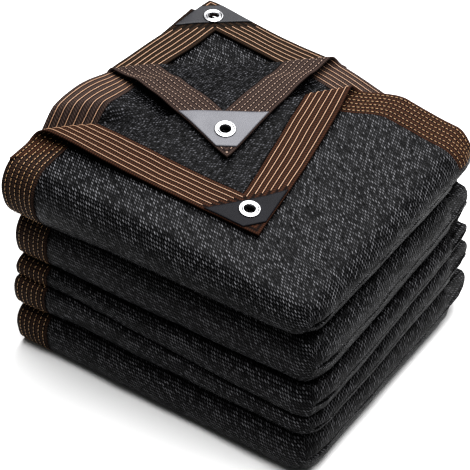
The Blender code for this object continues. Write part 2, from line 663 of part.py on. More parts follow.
def build():
    """Make every piece of the folded cloth."""
    knit = make_material("shade_knit", (0.02, 0.02, 0.022), 0.75, 0.0)
    tape = make_material("edge_tape", (0.1, 0.045, 0.03), 0.8, 0.0)
    vinyl = make_material("corner_vinyl", (0.075, 0.078, 0.085), 0.55, 0.0)
    metal = make_material("eyelet_metal", (0.75, 0.75, 0.74), 0.3, 1.0)

    side_end = LEFT + TAPE_WIDTH
    side_stations = [LEFT, LEFT + 12, LEFT + 25, side_end]
    cloth_stations = [side_end + FIT, -100.0, -58.0, -14.0, 30.0, 70.0, 106.0, POCKET_END,
                      RIGHT - 27, RIGHT - 19, RIGHT - 12.5, RIGHT - 8, RIGHT - 4, RIGHT - 1.4, RIGHT]
    left, run = fold_run()
    wall_start = left + Vector((run.y, -run.x)) * WALL_OFFSET
    left_y = wall_start.y + (LEFT - 1 - wall_start.x) * run.y / run.x
    right_x = wall_start.x + (BACK + 1 - wall_start.y) * run.x / run.y
    step_corners = [(LEFT - 1, left_y), (right_x, BACK + 1), (LEFT - 1, BACK + 1)]
    rebate_corners = [leaf_xy(OUTER, cut, TAPE_WIDTH + 2 * FIT) for cut in REJOIN_CUTS]
    rebate_corners += [(RIGHT + 1, rebate_corners[-1][1]), (RIGHT + 1, BACK + 1), (rebate_corners[0][0], BACK + 1)]
    rebate_cuts = [RIGHT - cut for cut in SEAT_X] + [LEFT + cut for cut in REJOIN_CUTS[1:]]

    cloth = stack_solid("cloth", cloth_stations, POCKET_END)
    side_tape = stack_solid("side_tape", side_stations, None)
    for item in (cloth, side_tape):
        cutter = grid_prism("step", step_corners, TOP - STEP_DEPTH, TOP + 9,
                            [LEFT + 43 * step for step in range(1, 7)],
                            [BACK - 43 * step for step in range(1, 7)])
        joined(item, cutter, "DIFFERENCE")
    cutter = grid_prism("rebate", rebate_corners, TOP - REBATE, TOP + 5, rebate_cuts,
                        [BACK - cut for cut in SEAT_Y])
    joined(cloth, cutter, "DIFFERENCE")
    settle_object(cloth)
    settle_object(side_tape)
    for leaf in (OUTER, SECOND):
        verts, faces = sheet_solid(leaf, knit_outline(leaf), [], -SHEET / 2, SHEET / 2)
        joined(cloth, make_object("leaf", verts, faces, None), "UNION")
    work = bmesh.new()
    work.from_mesh(cloth.data)
    bmesh.ops.triangulate(work, faces=work.faces[:])
    work.to_mesh(cloth.data)
    work.free()
    for item, material in ((cloth, knit), (side_tape, tape)):
        item.data.materials.clear()
        item.data.materials.append(material)

    for number, leaf in enumerate(LEAVES, 1):
        hole = hole_loop(EYELET_BARREL + HOLE_GAP)
        seat_lines = []
        if leaf is OUTER:
            seat_lines = [[(cut, -2 * FIT), (cut, TAPE_WIDTH + 2 * FIT)]
                          for cut in [STACK_X - cut for cut in SEAT_X[:-1]] + list(REJOIN_CUTS)]
            seat_lines += [[(STACK_X - SEAT_X[0] - 20, cut), (STACK_X, cut)] for cut in SEAT_Y]
        verts, faces = sheet_solid(leaf, tape_outline(leaf), [hole], -SHEET / 2, SHEET / 2, seat_lines)
        make_object(f"tape_{number}", verts, faces, tape)
        near, far = SHEET / 2 + PATCH_GAP, SHEET / 2 + PATCH_GAP + PATCH_WALL
        low, high = (-far, -near) if leaf["fold"] else (near, far)
        verts, faces = sheet_solid(leaf, patch_outline(), [hole], low, high)
        make_object(f"patch_{number}", verts, faces, vinyl)
        eyelet_ring(f"eyelet_{number}", leaf, metal)
    centre_plan()


for old in list(bpy.data.objects):
    bpy.data.objects.remove(old)
build()
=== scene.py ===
"""A folded black shade cloth with three bound corners turned out on top, dressed for a studio picture.

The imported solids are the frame. Every soft solid is replaced here by a finer piece of the same shape:
the folded knit, its edge tape with six rows of thread, three vinyl corner patches and three eyelets.
Sizes are in millimetres until a mesh is made. +X runs along the front folds, +Y to the back, +Z up.
"""

from __future__ import annotations

import logging
import math
from dataclasses import dataclass, field
from enum import Enum
from typing import Callable, Iterable, Sequence

import bpy
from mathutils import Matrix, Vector, noise


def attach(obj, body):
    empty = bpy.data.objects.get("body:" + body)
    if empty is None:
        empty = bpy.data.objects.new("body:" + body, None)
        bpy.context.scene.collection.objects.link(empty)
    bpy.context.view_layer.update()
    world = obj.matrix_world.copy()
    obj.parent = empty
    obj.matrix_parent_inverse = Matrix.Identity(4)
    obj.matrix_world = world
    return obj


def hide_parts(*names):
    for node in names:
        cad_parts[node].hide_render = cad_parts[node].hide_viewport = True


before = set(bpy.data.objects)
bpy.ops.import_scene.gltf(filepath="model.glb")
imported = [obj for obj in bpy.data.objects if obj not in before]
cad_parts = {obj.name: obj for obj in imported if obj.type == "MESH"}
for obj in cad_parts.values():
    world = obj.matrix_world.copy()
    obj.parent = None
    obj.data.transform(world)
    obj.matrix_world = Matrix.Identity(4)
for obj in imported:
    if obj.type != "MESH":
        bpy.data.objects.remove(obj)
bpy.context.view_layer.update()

LOG = logging.getLogger("shade_cloth")
MM = 0.001
RUFFLE_SEED = 3  # sets the cloth's unevenness, which is the same in every run

STACK_X, STACK_Y = 345.0, 300.0
RIGHT, LEFT = STACK_X / 2, -STACK_X / 2
FRONT, BACK = -STACK_Y / 2, STACK_Y / 2
CENTRE_SHIFT = Vector((-0.081, -2.0, 0.0))  # brings the whole outline's middle to the origin
TAPE_WIDTH = 37.0
SIDE_TAPE = LEFT + TAPE_WIDTH
SEAM_GAP = 0.3  # between the side tape's inner edge and the knit
ROWS = 6  # rows of thread along the tape
FIRST_ROW = 4.2  # distance of the first row from the tape's outer edge
ROW_STEP = 5.7


def smooth(low: float, high: float, value: float) -> float:
    """0 at low, 1 at high, and a smooth step between."""
    share = min(1.0, max(0.0, (value - low) / (high - low)))
    return share * share * (3 - 2 * share)


def follow(table: Sequence[tuple[float, float]], value: float) -> float:
    """A smooth curve through a table of (position, height)."""
    for (low, start), (high, end) in zip(table, table[1:]):
        if value <= high:
            return start + (end - start) * smooth(low, high, value)
    return table[-1][1]


@dataclass(frozen=True)
class Pack:
    """One rounded bundle of the stack, by its shape at the left end.

    nose is the foremost y, at nose_height on the left and end_height on the right, and inset is how
    much further back it lies on the right. low_round and high_round are the depths of the curve below
    and above it. side_round, side_front and side_back shape the right side. plies is how many edges
    each of its two layers shows.
    """

    bottom: float
    top: float
    nose: float
    nose_height: float
    end_height: float
    inset: float
    low_round: float
    high_round: float
    side_round: float
    side_front: float
    side_back: float
    plies: int

    @property
    def middle(self) -> float:
        """Height halfway up the pack."""
        return (self.bottom + self.top) / 2


@dataclass(frozen=True)
class StackShape:
    """The whole stack: its packs and how it settles."""

    packs: tuple[Pack, ...] = (
        Pack(0.0, 48.0, -162.0, 28.0, 22.0, 0.0, 12.0, 16.0, 14.0, 0.0, -4.0, 7),
        Pack(48.0, 86.0, -160.0, 73.0, 62.0, 4.0, 14.0, 6.0, 11.0, 0.0, -3.0, 6),
        Pack(86.0, 108.0, -154.0, 98.0, 94.0, -1.0, 3.0, 13.0, 9.0, 0.0, -1.0, 4),
        Pack(108.0, 160.0, -152.0, 134.0, 124.0, 2.0, 12.0, 18.0, 15.0, 2.0, 3.0, 7),
        Pack(160.0, 232.0, -164.0, 203.0, 188.0, 14.0, 28.0, 25.0, 27.0, 10.0, 4.0, 12),
    )
    layer_gap: float = 1.6
    pocket_end: float = RIGHT - 34.0
    slit_front: float = 40.0
    back_round: float = 10.0
    back_slit: float = 30.0
    side_least: float = 0.12
    short_from: float = LEFT + 60  # where the packs start to end short of the right side
    sagging: tuple[float, float] = (LEFT + 30, RIGHT + 20)  # from where to where the stack sags
    drawn_in: float = 22.0  # how far a pack's seams draw in at the back right corner, towards the front
    drawn_side: float = 1.35  # and towards the left, as a share of the side's roundness
    drawn_back: tuple[float, float] = (BACK - 52, BACK - 14)  # where that corner starts, and is whole
    drawn_forward: tuple[float, float] = (RIGHT - 50, RIGHT - 12)
    drawn_left: tuple[float, float] = (RIGHT - 60, RIGHT)
    corner_round: float = 27.0
    corner_norm: tuple[float, float] = (8.0, 4.0)  # roundness of the right corners, front and back
    crease_drop: float = 15.0
    top_drop_front: float = 31.0
    top_drop_back: float = 22.0
    sunk_back: tuple[float, float] = (-10, 160)  # from where to where the back of the top sinks
    corner_lift: float = 9.0
    lifted_left: tuple[float, float] = (-160, -30)  # the back left corner that is lifted
    lifted_back: tuple[float, float] = (-40, 25)
    step_depth: float = 11.2
    wall_offset: float = 12.0
    ramp: float = 7.0
    calm: tuple[float, float] = (2.0, 22.0)  # heights between which the unevenness grows to full
    swell: tuple[float, float] = (78.0, 1.5)  # length and height of the slow swells
    dent: tuple[float, float] = (27.0, 0.55)  # and of the small dents
    dent_shift: tuple[float, float, float] = (7.3, 1.9, 4.1)

    @property
    def top(self) -> float:
        """Height of the squared-up stack."""
        return self.packs[-1].top

    def pack_at(self, z: float) -> Pack:
        """The pack a height belongs to."""
        for pack in self.packs:
            if z <= pack.top:
                return pack
        return self.packs[-1]

    def settle(self, point: Vector) -> Vector:
        """Move a point of the squared-up stack to where it lies in the settled one.

        Args:
            point: A point in millimetres.

        Returns:
            The moved point.
        """
        x, y, z = point
        pack = self.pack_at(z)
        base = self.packs[-1].bottom
        below_top = z < self.packs[-1].middle
        toward_right = smooth(*self.sagging, x)
        toward_front = smooth(BACK, FRONT, y)
        depth = pack.side_round
        reach = min(1.0, max(0.0, (x - RIGHT + depth) / depth))
        share = self.side_least + (1 - self.side_least) * math.sqrt(1 - reach * reach)
        seam = min(1.0, abs(z - pack.middle) * 2 / (pack.top - pack.bottom))
        drawn = 1 - math.sqrt(1 - seam * seam) if below_top else 0.0
        at_back = smooth(*self.drawn_back, y)
        if below_top:
            share += (1 - share) * at_back
        y -= self.drawn_in * drawn * at_back * smooth(*self.drawn_forward, x)
        z = pack.middle + (z - pack.middle) * share
        short = pack.side_back + (pack.side_front - pack.side_back) * toward_front
        x -= short * smooth(self.short_from, RIGHT, x)
        x -= self.drawn_side * depth * drawn * at_back * smooth(*self.drawn_left, x)
        over_x = (x - RIGHT + short + self.corner_round) / self.corner_round
        front = pack.nose + pack.inset
        for sign, edge, norm in ((-1, front, self.corner_norm[0]), (1, BACK, self.corner_norm[1])):
            over_y = (sign * (y - edge) + self.corner_round) / self.corner_round
            if over_x > 0 and over_y > 0:
                pull = (over_x ** norm + over_y ** norm) ** (1 / norm) / math.hypot(over_x, over_y)
                x = RIGHT - short - self.corner_round * (1 - over_x * pull)
                y = edge - sign * self.corner_round * (1 - over_y * pull)
        top_share = min(1.0, max(0.0, (z - base) / (self.top - base)))
        sink_front = self.top_drop_front * toward_right
        sink_back = self.top_drop_back * smooth(*self.sunk_back, x)
        lift = self.corner_lift * (1 - smooth(*self.lifted_left, x)) * smooth(*self.lifted_back, y)
        z += (lift - sink_back - (sink_front - sink_back) * toward_front) * top_share
        low, crease, high = self.packs[1].bottom, self.packs[1].top, self.packs[3].bottom
        if low < z < high:
            limit = low if z < crease else high
            z -= self.crease_drop * toward_right * toward_front * (z - limit) / (crease - limit)
        return self.ruffle(Vector((x, y, z))) + CENTRE_SHIFT

    def ruffle(self, point: Vector) -> Vector:
        """Unevenness of real cloth: slow swells and small dents, none where the stack stands."""
        swell = noise.noise_vector(point / self.swell[0]) * self.swell[1]
        dent = noise.noise_vector(point / self.dent[0] + Vector(self.dent_shift)) * self.dent[1]
        return point + (swell + dent) * smooth(*self.calm, point.z)

    def behind_fold(self, x: float, y: float) -> float:
        """Distance behind the outer leaf's fold line, seen from above."""
        left, right = OUTER.fold_ends()
        run = right - left
        return (run.x * (y - left.y) - run.y * (x - left.x)) / run.length

    def section(self, x: float, layer_steps: int, top_steps: int, front_arc: int, back_arc: int) -> Section:
        """The stack's ribbon at one station.

        Args:
            x: The station.
            layer_steps: Steps along a layer.
            top_steps: Steps along the topmost layer.
            front_arc: Points on a front fold.
            back_arc: Points on a back fold.

        Returns:
            The section's matching inner and outer points and what each stretch belongs to.
        """
        to_right = (x - LEFT) / STACK_X
        made = Section()
        last = len(self.packs) - 1
        gap = self.layer_gap / 2
        for number, pack in enumerate(self.packs):
            low = pack.bottom + (gap if number else 0.0)
            high = pack.top - (gap if number < last else 0.0)
            middle = (low + high) / 2
            nose = pack.nose + pack.inset * to_right
            nose_height = pack.nose_height + (pack.end_height - pack.nose_height) * smooth(0, 1, to_right)
            slit_front = nose + self.slit_front
            first = len(made.inner)
            back_low = (BACK - self.back_round, BACK - (self.back_slit if number else self.back_round))
            back_high = (BACK - self.back_round if number < last else BACK,
                         BACK - self.back_slit if number < last else BACK)
            for step in range(layer_steps + 1):
                share = step / layer_steps
                made.add((back_low[0] + (slit_front - back_low[0]) * share, middle - gap),
                         (back_low[1] + (nose + pack.low_round - back_low[1]) * share, low), number)
            front_start = len(made.inner) - 1
            for step in range(1, front_arc + 1):
                angle = math.pi * (step / (front_arc + 1) - 0.5)
                lean, rise = math.cos(angle), math.sin(angle)
                depth = pack.low_round if rise < 0 else pack.high_round
                height = nose_height - low if rise < 0 else high - nose_height
                made.add((slit_front - gap * lean, middle + gap * rise),
                         (nose + depth * (1 - lean), nose_height + height * rise), number)
            made.fronts.append((front_start, len(made.inner)))
            steps = top_steps if number == last else layer_steps
            for step in range(steps + 1):
                share = 1 - step / steps
                made.add((back_high[0] + (slit_front - back_high[0]) * share, middle + gap),
                         (back_high[1] + (nose + pack.high_round - back_high[1]) * share, high), number)
            made.slits.append((first, len(made.inner) - 1, layer_steps + 1, steps + 1))
            if number < last:
                above = self.packs[number + 1]
                end_high = above.top - (gap if number + 1 < last else 0.0)
                start, end = middle + gap, (above.bottom + gap + end_high) / 2 - gap
                for step in range(1, back_arc + 1):
                    angle = math.pi * (step / (back_arc + 1) - 0.5)
                    lean, rise = math.cos(angle), math.sin(angle)
                    height = (start + end) / 2 + (end - start) / 2 * rise
                    made.add((BACK - self.back_round * (1 - lean), height),
                             (BACK - self.back_slit + gap * lean, pack.top + gap * rise), number)
        return made

    def lowered(self, x: float, y: float, z: float) -> float:
        """Height of the topmost surface, which drops behind the wall under the outer leaf."""
        if z < self.top - 0.01:
            return z
        return z - self.step_depth * smooth(0, self.ramp, self.behind_fold(x, y) + self.wall_offset)


@dataclass
class Section:
    """A cut through the stack: matching points on the slit side and the outer side of its ribbon."""

    inner: list[tuple[float, float]] = field(default_factory=list)
    outer: list[tuple[float, float]] = field(default_factory=list)
    pack: list[int] = field(default_factory=list)
    fronts: list[tuple[int, int]] = field(default_factory=list)
    slits: list[tuple[int, int, int, int]] = field(default_factory=list)

    def add(self, inner: tuple[float, float], outer: tuple[float, float], pack: int) -> None:
        """Add one matching pair."""
        self.inner.append(inner)
        self.outer.append(outer)
        self.pack.append(pack)


class Upper(Enum):
    """Which face of a top ply looks up at its corner."""

    FACE = 1
    UNDERSIDE = -1


@dataclass(frozen=True)
class LeafSpec:
    """One top ply with its corner.

    corner is its corner seen from above, height its middle surface, and slopes the slopes of its side
    and back edges. Its side edge is straight beyond the distance straight. fold is the fold line as
    distances along and across, roll the roll's radius at its left end, middle and right end, rest the
    height of the turned corner over the leaf and ease the length over which it settles to it. rejoin
    is where its back edge runs back to the stack's: from and to across, and the edge's place there.
    """

    corner: tuple[float, float]
    height: float
    slopes: tuple[float, float]
    straight: float
    fold: tuple[float, float] | None = None
    roll: tuple[float, float, float] = (0.0, 0.0, 0.0)
    rest: float = 0.0
    ease: float = 1.0
    rejoin: tuple[float, float, float] | None = None

    @property
    def shown(self) -> Upper:
        """The face that looks up at the corner."""
        return Upper.UNDERSIDE if self.fold else Upper.FACE

    def fold_line(self) -> tuple[float, float, float]:
        """Direction away from the corner, square to the fold line, and the line's distance."""
        along, across = self.fold
        length = math.hypot(along, across)
        return along / length, across / length, along * across / length

    def fold_ends(self) -> tuple[Vector, Vector]:
        """The fold line's left and right end, seen from above."""
        along, across = self.fold
        left = Vector((self.corner[0], self.corner[1] - along))
        return left, Vector((self.corner[0] + across, self.corner[1] - self.slopes[1] * across))

    def flat_xy(self, across: float, along: float) -> tuple[float, float]:
        """Where a flat point of the leaf lies, seen from above."""
        side, back = self.slopes
        edge = self.corner[1] - back * across
        if self.rejoin:
            start, end, level = self.rejoin
            edge += (level - edge) * smooth(start, end, across) * (1 - smooth(*REJOIN_ALONG, along))
            bend = STACK_X - SHAPE.packs[-1].side_round
            if across > bend:
                across = bend + (STACK_X - bend) * math.sin((across - bend) / (STACK_X - bend))
        return self.corner[0] + across - side * min(along, self.straight), edge - along


SHAPE = StackShape()
TOP = SHAPE.top
REJOIN_ALONG = (40.0, 190.0)  # from where to where, along, the outer leaf's run back to the stack fades
OUTER = LeafSpec((LEFT, 136.5), TOP - 0.9, (0.0, 0.065), 190.0,
                 (266.0, 227.5), (7.0, 4.6, 7.0), 4.8, 90.0, (205.0, 262.0, BACK))
SECOND = LeafSpec((-191.0, 183.0), TOP - 4.9, (-0.11, 0.149), 190.0,
                  (183.0, 209.0), (2.6, 5.0, 6.5), 4.0, 60.0)
THIRD = LeafSpec((-161.0, 168.0), TOP - 8.3, (0.10, 0.06), 150.0)
LEAVES = (OUTER, SECOND, THIRD)


@dataclass(frozen=True)
class LeafShape:
    """How a leaf rolls back, bulges and lies flat round its eyelet."""

    spec: LeafSpec
    inset: float = 22.0  # of the eyelet, from both edges
    flat_near: float = 17.0
    flat_far: float = 34.0
    bulge_height: float = 26.0
    bulge_at: tuple[float, float] = (LEFT, -60.0)
    bulge_size: tuple[float, float, float] = (75.0, 90.0, 70.0)  # to the right, front and back
    bulge_power: float = 1.2
    bulge_fade: tuple[float, float] = (6.0, 30.0)  # behind the outer leaf's fold line
    bulge_kept: float = 0.6  # share of the bulge in the turned part
    settled: float = 0.35  # share of the turn after which the leaf lies on its cover
    cover: tuple[tuple[float, float], ...] = ((-200.0, 243.6), (-60.0, 243.6), (-34.0, 244.2), (-14.0, 245.4),
                                              (10.0, 245.4), (45.0, 241.5), (80.0, 239.0), (300.0, 238.5))

    def bulge(self, x: float, y: float) -> float:
        """Extra height of the second leaf between the folds."""
        off_x = (x - self.bulge_at[0]) / self.bulge_size[0]
        off_y = y - self.bulge_at[1]
        off_y /= self.bulge_size[1] if off_y < 0 else self.bulge_size[2]
        fade = smooth(*self.bulge_fade, SHAPE.behind_fold(x, y))
        return self.bulge_height * math.exp(-off_x ** 2) * max(0.0, 1 - off_y ** 2) ** self.bulge_power * fade

    def raw(self, across: float, along: float) -> tuple[Vector, Vector]:
        """A point of the middle surface and the direction of the leaf's upper side, before settling."""
        spec = self.spec
        lift, tip, flat, turned = 0.0, 0.0, 1.0, 0.0
        out_u = out_v = 0.0
        if spec.fold:
            out_u, out_v, distance = spec.fold_line()
            ahead = distance - (across * out_u + along * out_v)
            if ahead > 0:
                length = math.hypot(*spec.fold)
                place = (across * out_v - along * out_u) / length
                end_radius = spec.roll[0] if place < 0 else spec.roll[2]
                radius = spec.roll[1] + (end_radius - spec.roll[1]) * min(1.0, abs(2 * place)) ** 2
                angle = min(math.pi, ahead / radius)
                beyond = max(0.0, ahead - math.pi * radius)
                turned = smooth(0, spec.ease, beyond)
                lift = radius * (1 - math.cos(angle)) - (2 * radius - spec.rest) * turned
                moved = ahead - radius * math.sin(angle) + beyond
                across += moved * out_u
                along += moved * out_v
                tip, flat = (math.sin(angle), math.cos(angle)) if beyond <= 0 else (0.0, -1.0)
        x, y = spec.flat_xy(across, along)
        z = spec.height + lift
        if spec is SECOND:
            rise = self.bulge(x, y)
            share = smooth(0, self.settled, turned)
            covered = max(z + rise, follow(self.cover, SHAPE.behind_fold(x, y)) + self.bulge_kept * rise)
            z += (covered - z) * share + rise * (1 - share)
        normal = Vector((tip * out_u, -tip * out_v, flat))
        return Vector((x, y, z)), normal

    def seat(self) -> tuple[Vector, Vector, Vector, Vector]:
        """The flat spot round the eyelet: centre, steps across and along, and the upper direction."""
        middle, up = self.raw(self.inset, self.inset)
        centre = SHAPE.settle(middle)
        across = SHAPE.settle(self.raw(self.inset + self.flat_near, self.inset)[0]) - centre
        along = SHAPE.settle(self.raw(self.inset, self.inset + self.flat_near)[0]) - centre
        axis = across.cross(along).normalized()
        if axis.dot(up) < 0:
            axis.negate()
        return centre, across / self.flat_near, along / self.flat_near, axis

    def placer(self) -> Callable[[float, float, float], Vector]:
        """A function from across, along and height over the middle surface to the settled place."""
        centre, step_across, step_along, axis = self.seat()

        def place(across: float, along: float, height: float) -> Vector:
            """The settled place of one point."""
            off_u, off_v = across - self.inset, along - self.inset
            own = smooth(self.flat_near, self.flat_far, math.hypot(off_u, off_v))
            level = centre + step_across * off_u + step_along * off_v + axis * height
            if own <= 0:
                return level
            point, normal = self.raw(across, along)
            return level.lerp(SHAPE.settle(point + normal * height), own)

        return place


Cell = tuple[int, int]  # column and row of a grid
Spot = tuple[float, float]  # a place in a piece's flat map


def place_object(name: str, mesh: bpy.types.Mesh, slot: str) -> bpy.types.Object:
    """Put a finished mesh in the scene, riding on the object's one body.

    Args:
        name: The piece's name.
        mesh: Its mesh.
        slot: The record's material slot; not used.

    Returns:
        The piece.
    """
    item = bpy.data.objects.new(name, mesh)
    bpy.context.scene.collection.objects.link(item)
    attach(item, "root")
    LOG.info("%s: %d faces", name, len(mesh.polygons))
    return item


class MeshMaker:
    """Collects points in millimetres, faces and a map, and turns them into a finished piece."""

    def __init__(self, name: str) -> None:
        """Start an empty piece."""
        self.name = name
        self.points: list[Vector] = []
        self.faces: list[tuple[int, ...]] = []
        self.maps: list[tuple[Spot, ...]] = []

    def point(self, spot: Vector) -> int:
        """Add a point and return its number."""
        self.points.append(spot)
        return len(self.points) - 1

    def face(self, corners: Sequence[int], places: Sequence[Spot]) -> None:
        """Add a face with its map, in millimetres of cloth."""
        self.faces.append(tuple(corners))
        self.maps.append(tuple(places))

    def end_face(self, corners: Sequence[int]) -> None:
        """Add a face across the folds, mapped as it is seen from the side."""
        self.face(corners, [(self.points[corner].y, self.points[corner].z) for corner in corners])

    def shell(self, cells: Iterable[Cell], corner: Callable[[int, int], tuple[Spot, Vector, Vector]],
              flip: bool = False) -> None:
        """Add both sides and the rim of a sheet cut along grid cells.

        Args:
            cells: The cells it covers.
            corner: Gives the map place, the lower point and the upper point of a grid corner.
            flip: Whether the grid runs the other way round, seen from its upper side.
        """
        known: dict[Cell, tuple[Spot, int, int]] = {}
        rim: dict[tuple[Cell, Cell], bool] = {}
        turn = -1 if flip else 1

        def look(spot: Cell) -> tuple[Spot, int, int]:
            """Map place and point numbers of a grid corner."""
            if spot not in known:
                flat, low, high = corner(*spot)
                known[spot] = flat, self.point(low), self.point(high)
            return known[spot]

        for column, row in cells:
            ring = [(column, row), (column, row + 1), (column + 1, row + 1), (column + 1, row)]
            flats, lows, highs = zip(*(look(spot) for spot in ring))
            self.face(highs[::turn], flats[::turn])
            self.face(lows[::-turn], flats[::-turn])
            for first, second in zip(ring, ring[1:] + ring[:1]):
                if rim.pop((second, first), None) is None:
                    rim[(first, second)] = True
        for first, second in rim:
            (flat_a, low_a, high_a), (flat_b, low_b, high_b) = look(first), look(second)
            self.face((low_a, low_b, high_b, high_a)[::turn], (flat_a, flat_b, flat_b, flat_a)[::turn])

    def build(self, material: bpy.types.Material, slot: str) -> bpy.types.Object:
        """Make the object, with its finish."""
        mesh = bpy.data.meshes.new(self.name)
        mesh.from_pydata([spot * MM for spot in self.points], [], self.faces)
        layer = mesh.uv_layers.new(name="cloth_map")
        flat = [value * MM for places in self.maps for place in places for value in place]
        layer.data.foreach_set("uv", flat)
        mesh.polygons.foreach_set("use_smooth", [True] * len(mesh.polygons))
        mesh.materials.append(material)
        mesh.update()
        return place_object(self.name, mesh, slot)


@dataclass(frozen=True)
class SheetCut:
    """A thin piece cut from a leaf: cells of a grid across and along it, with a thickness."""

    name: str
    leaf: LeafShape
    low: float
    high: float
    step: float = 2.5

    def build(self, cells: Iterable[Cell], origin: Spot, material: bpy.types.Material,
              slot: str) -> bpy.types.Object:
        """Make the sheet from grid cells.

        Args:
            cells: The cells it covers.
            origin: Across and along of the grid's first point.
            material: Its finish.
            slot: The record's material slot, passed on and not used.

        Returns:
            The piece.
        """
        place = self.leaf.placer()
        made = MeshMaker(self.name)

        def corner(column: int, row: int) -> tuple[Spot, Vector, Vector]:
            """Flat place, lower point and upper point of a grid corner."""
            flat = origin[0] + column * self.step, origin[1] + row * self.step
            return flat, place(*flat, self.low), place(*flat, self.high)

        made.shell(cells, corner)
        return made.build(material, slot)


class Tree:
    """Shorthand for building a node tree."""

    def __init__(self, tree: bpy.types.NodeTree) -> None:
        """Work on a tree."""
        self.tree = tree

    def feed(self, target: bpy.types.NodeSocket, value: object) -> None:
        """Link a socket or a wire to an input, or set the input's value."""
        if isinstance(value, Wire):
            value = value.socket
        if isinstance(value, bpy.types.NodeSocket):
            self.tree.links.new(value, target)
        elif target.type == "RGBA":
            target.default_value = (*value, 1.0)
        else:
            target.default_value = value

    def add(self, kind: str, inputs: dict | None = None, **settings: object) -> bpy.types.Node:
        """Add a node, set its properties, and link or set its inputs."""
        node = self.tree.nodes.new(kind)
        for key, value in settings.items():
            setattr(node, key, value)
        for key, value in (inputs or {}).items():
            self.feed(node.inputs[key], value)
        return node


@dataclass(frozen=True)
class Wire:
    """A number in a node tree. Sums on it add math nodes."""

    tree: Tree
    socket: bpy.types.NodeSocket

    def math(self, operation: str, *others: Wire | float) -> Wire:
        """One math node on this number and others."""
        return Wire(self.tree, self.tree.add("ShaderNodeMath", dict(enumerate((self, *others))),
                                             operation=operation).outputs[0])

    def __add__(self, other: Wire | float) -> Wire:
        """Sum."""
        return self.math("ADD", other)

    def __sub__(self, other: Wire | float) -> Wire:
        """Difference."""
        return self.math("SUBTRACT", other)

    def __mul__(self, other: Wire | float) -> Wire:
        """Product."""
        return self.math("MULTIPLY", other)

    def __truediv__(self, other: Wire | float) -> Wire:
        """Quotient."""
        return self.math("DIVIDE", other)

    def __pow__(self, other: float) -> Wire:
        """Power."""
        return self.math("POWER", other)

    def whole(self) -> Wire:
        """The number's whole part, which numbers a cell."""
        return self.math("FLOOR")

    def off_centre(self) -> Wire:
        """The place in a cell, from -0.5 to 0.5."""
        return self.math("FRACT") - 0.5


class Finish(Tree):
    """A material's node tree."""

    def __init__(self, name: str, roughness: float) -> None:
        """Make a material with only its shader and output."""
        self.material = bpy.data.materials.new(name)
        self.material.use_nodes = True
        super().__init__(self.material.node_tree)
        self.shader = self.tree.nodes["Principled BSDF"]
        self.set("Roughness", roughness)

    def set(self, name: str, value: object) -> None:
        """Set or link one of the shader's inputs."""
        self.feed(self.shader.inputs[name], value)

    def mix(self, share: object, first: object, second: object) -> bpy.types.NodeSocket:
        """Blend two colours by a share."""
        return self.add("ShaderNodeMix", {0: share, 6: first, 7: second}, data_type="RGBA").outputs[2]

    def bump(self, height: object, strength: float, distance: float) -> None:
        """Give the shader relief."""
        node = self.add("ShaderNodeBump", {"Height": height, "Strength": strength, "Distance": distance})
        self.set("Normal", node.outputs["Normal"])

    def texture(self, kind: str, **inputs: float) -> bpy.types.Node:
        """A texture that stays with the object, of a kind such as Noise."""
        coords = self.add("ShaderNodeTexCoord")
        return self.add("ShaderNodeTex" + kind, {"Vector": coords.outputs["Object"], **inputs})

    def parts(self, color: bpy.types.NodeSocket) -> list[Wire]:
        """A colour's three numbers."""
        split = self.add("ShaderNodeSeparateColor", {"Color": color})
        return [Wire(self, socket) for socket in split.outputs]

    def cloth_place(self) -> tuple[Wire, Wire]:
        """The cloth map's two directions, in metres of cloth."""
        source = self.add("ShaderNodeUVMap", uv_map="cloth_map")
        split = self.add("ShaderNodeSeparateXYZ", {"Vector": source.outputs[0]})
        return Wire(self, split.outputs[0]), Wire(self, split.outputs[1])


Color = tuple[float, float, float]


@dataclass(frozen=True)
class KnitFinish:
    """Black knitted polyethylene: rows of short slanting loops, some of them painted bright in the base
    colour as glints.
    """

    name: str = "knit"
    dark: Color = (0.0004, 0.0004, 0.0005)
    loop: Color = (0.022, 0.022, 0.024)
    # painted highlight: the bright colour put into the base colour of glinting loops
    glint: Color = (0.165, 0.165, 0.175)
    wale: float = 0.0031  # from loop to loop along a row
    course: float = 0.0034  # from row to row
    slant: float = 1.1
    wander: float = 0.6  # how far the loops stray, in loops
    loop_half: tuple[float, float] = (0.36, 0.43)  # half a loop's width and length, in cells
    loop_power: float = 0.8  # how steeply a loop rises from its edge
    glint_power: float = 1.6  # how few of the loops get a painted glint
    relief: float = 0.0012
    roughness: float = 0.4
    shine: float = 0.05

    def make(self) -> bpy.types.Material:
        """Build the material."""
        finish = Finish(self.name, self.roughness)
        across, along = finish.cloth_place()
        drift = finish.parts(finish.texture("Noise", Scale=70.0, Detail=2.0).outputs["Color"])
        sway, lag = ((part - 0.5) * self.wander for part in drift[:2])
        row = along / self.course + lag
        row_number, row_place = row.whole(), row.off_centre()
        column = (across / self.wale + sway) + (row_number * 0.5 + row_place * self.slant)
        cell = finish.add("ShaderNodeCombineXYZ", {"X": column.whole(), "Y": row_number})
        chance = finish.add("ShaderNodeTexWhiteNoise", {"Vector": cell.outputs[0]}, noise_dimensions="3D")
        tone, painted_glint_pick, rise = finish.parts(chance.outputs["Color"])
        wide = (column.off_centre() / self.loop_half[0]) ** 2.0
        long = (row_place / self.loop_half[1]) ** 2.0
        hump = ((wide + long) * -1.0 + 1.0).math("MAXIMUM", 0.0) ** self.loop_power
        fine = Wire(finish, finish.texture("Noise", Scale=900.0, Detail=1.0).outputs[0])
        ragged = hump * (fine * 1.2 + 0.2)
        base = finish.mix(ragged * (tone * 0.7 + 0.3), self.dark, self.loop)
        # Painted glints: a few loops get the bright glint colour in their base colour, as highlights.
        finish.set("Base Color", finish.mix(ragged * painted_glint_pick ** self.glint_power, base, self.glint))
        finish.set("Specular IOR Level", self.shine)
        finish.bump(ragged + rise * 0.3, 1.0, self.relief)
        return finish.material


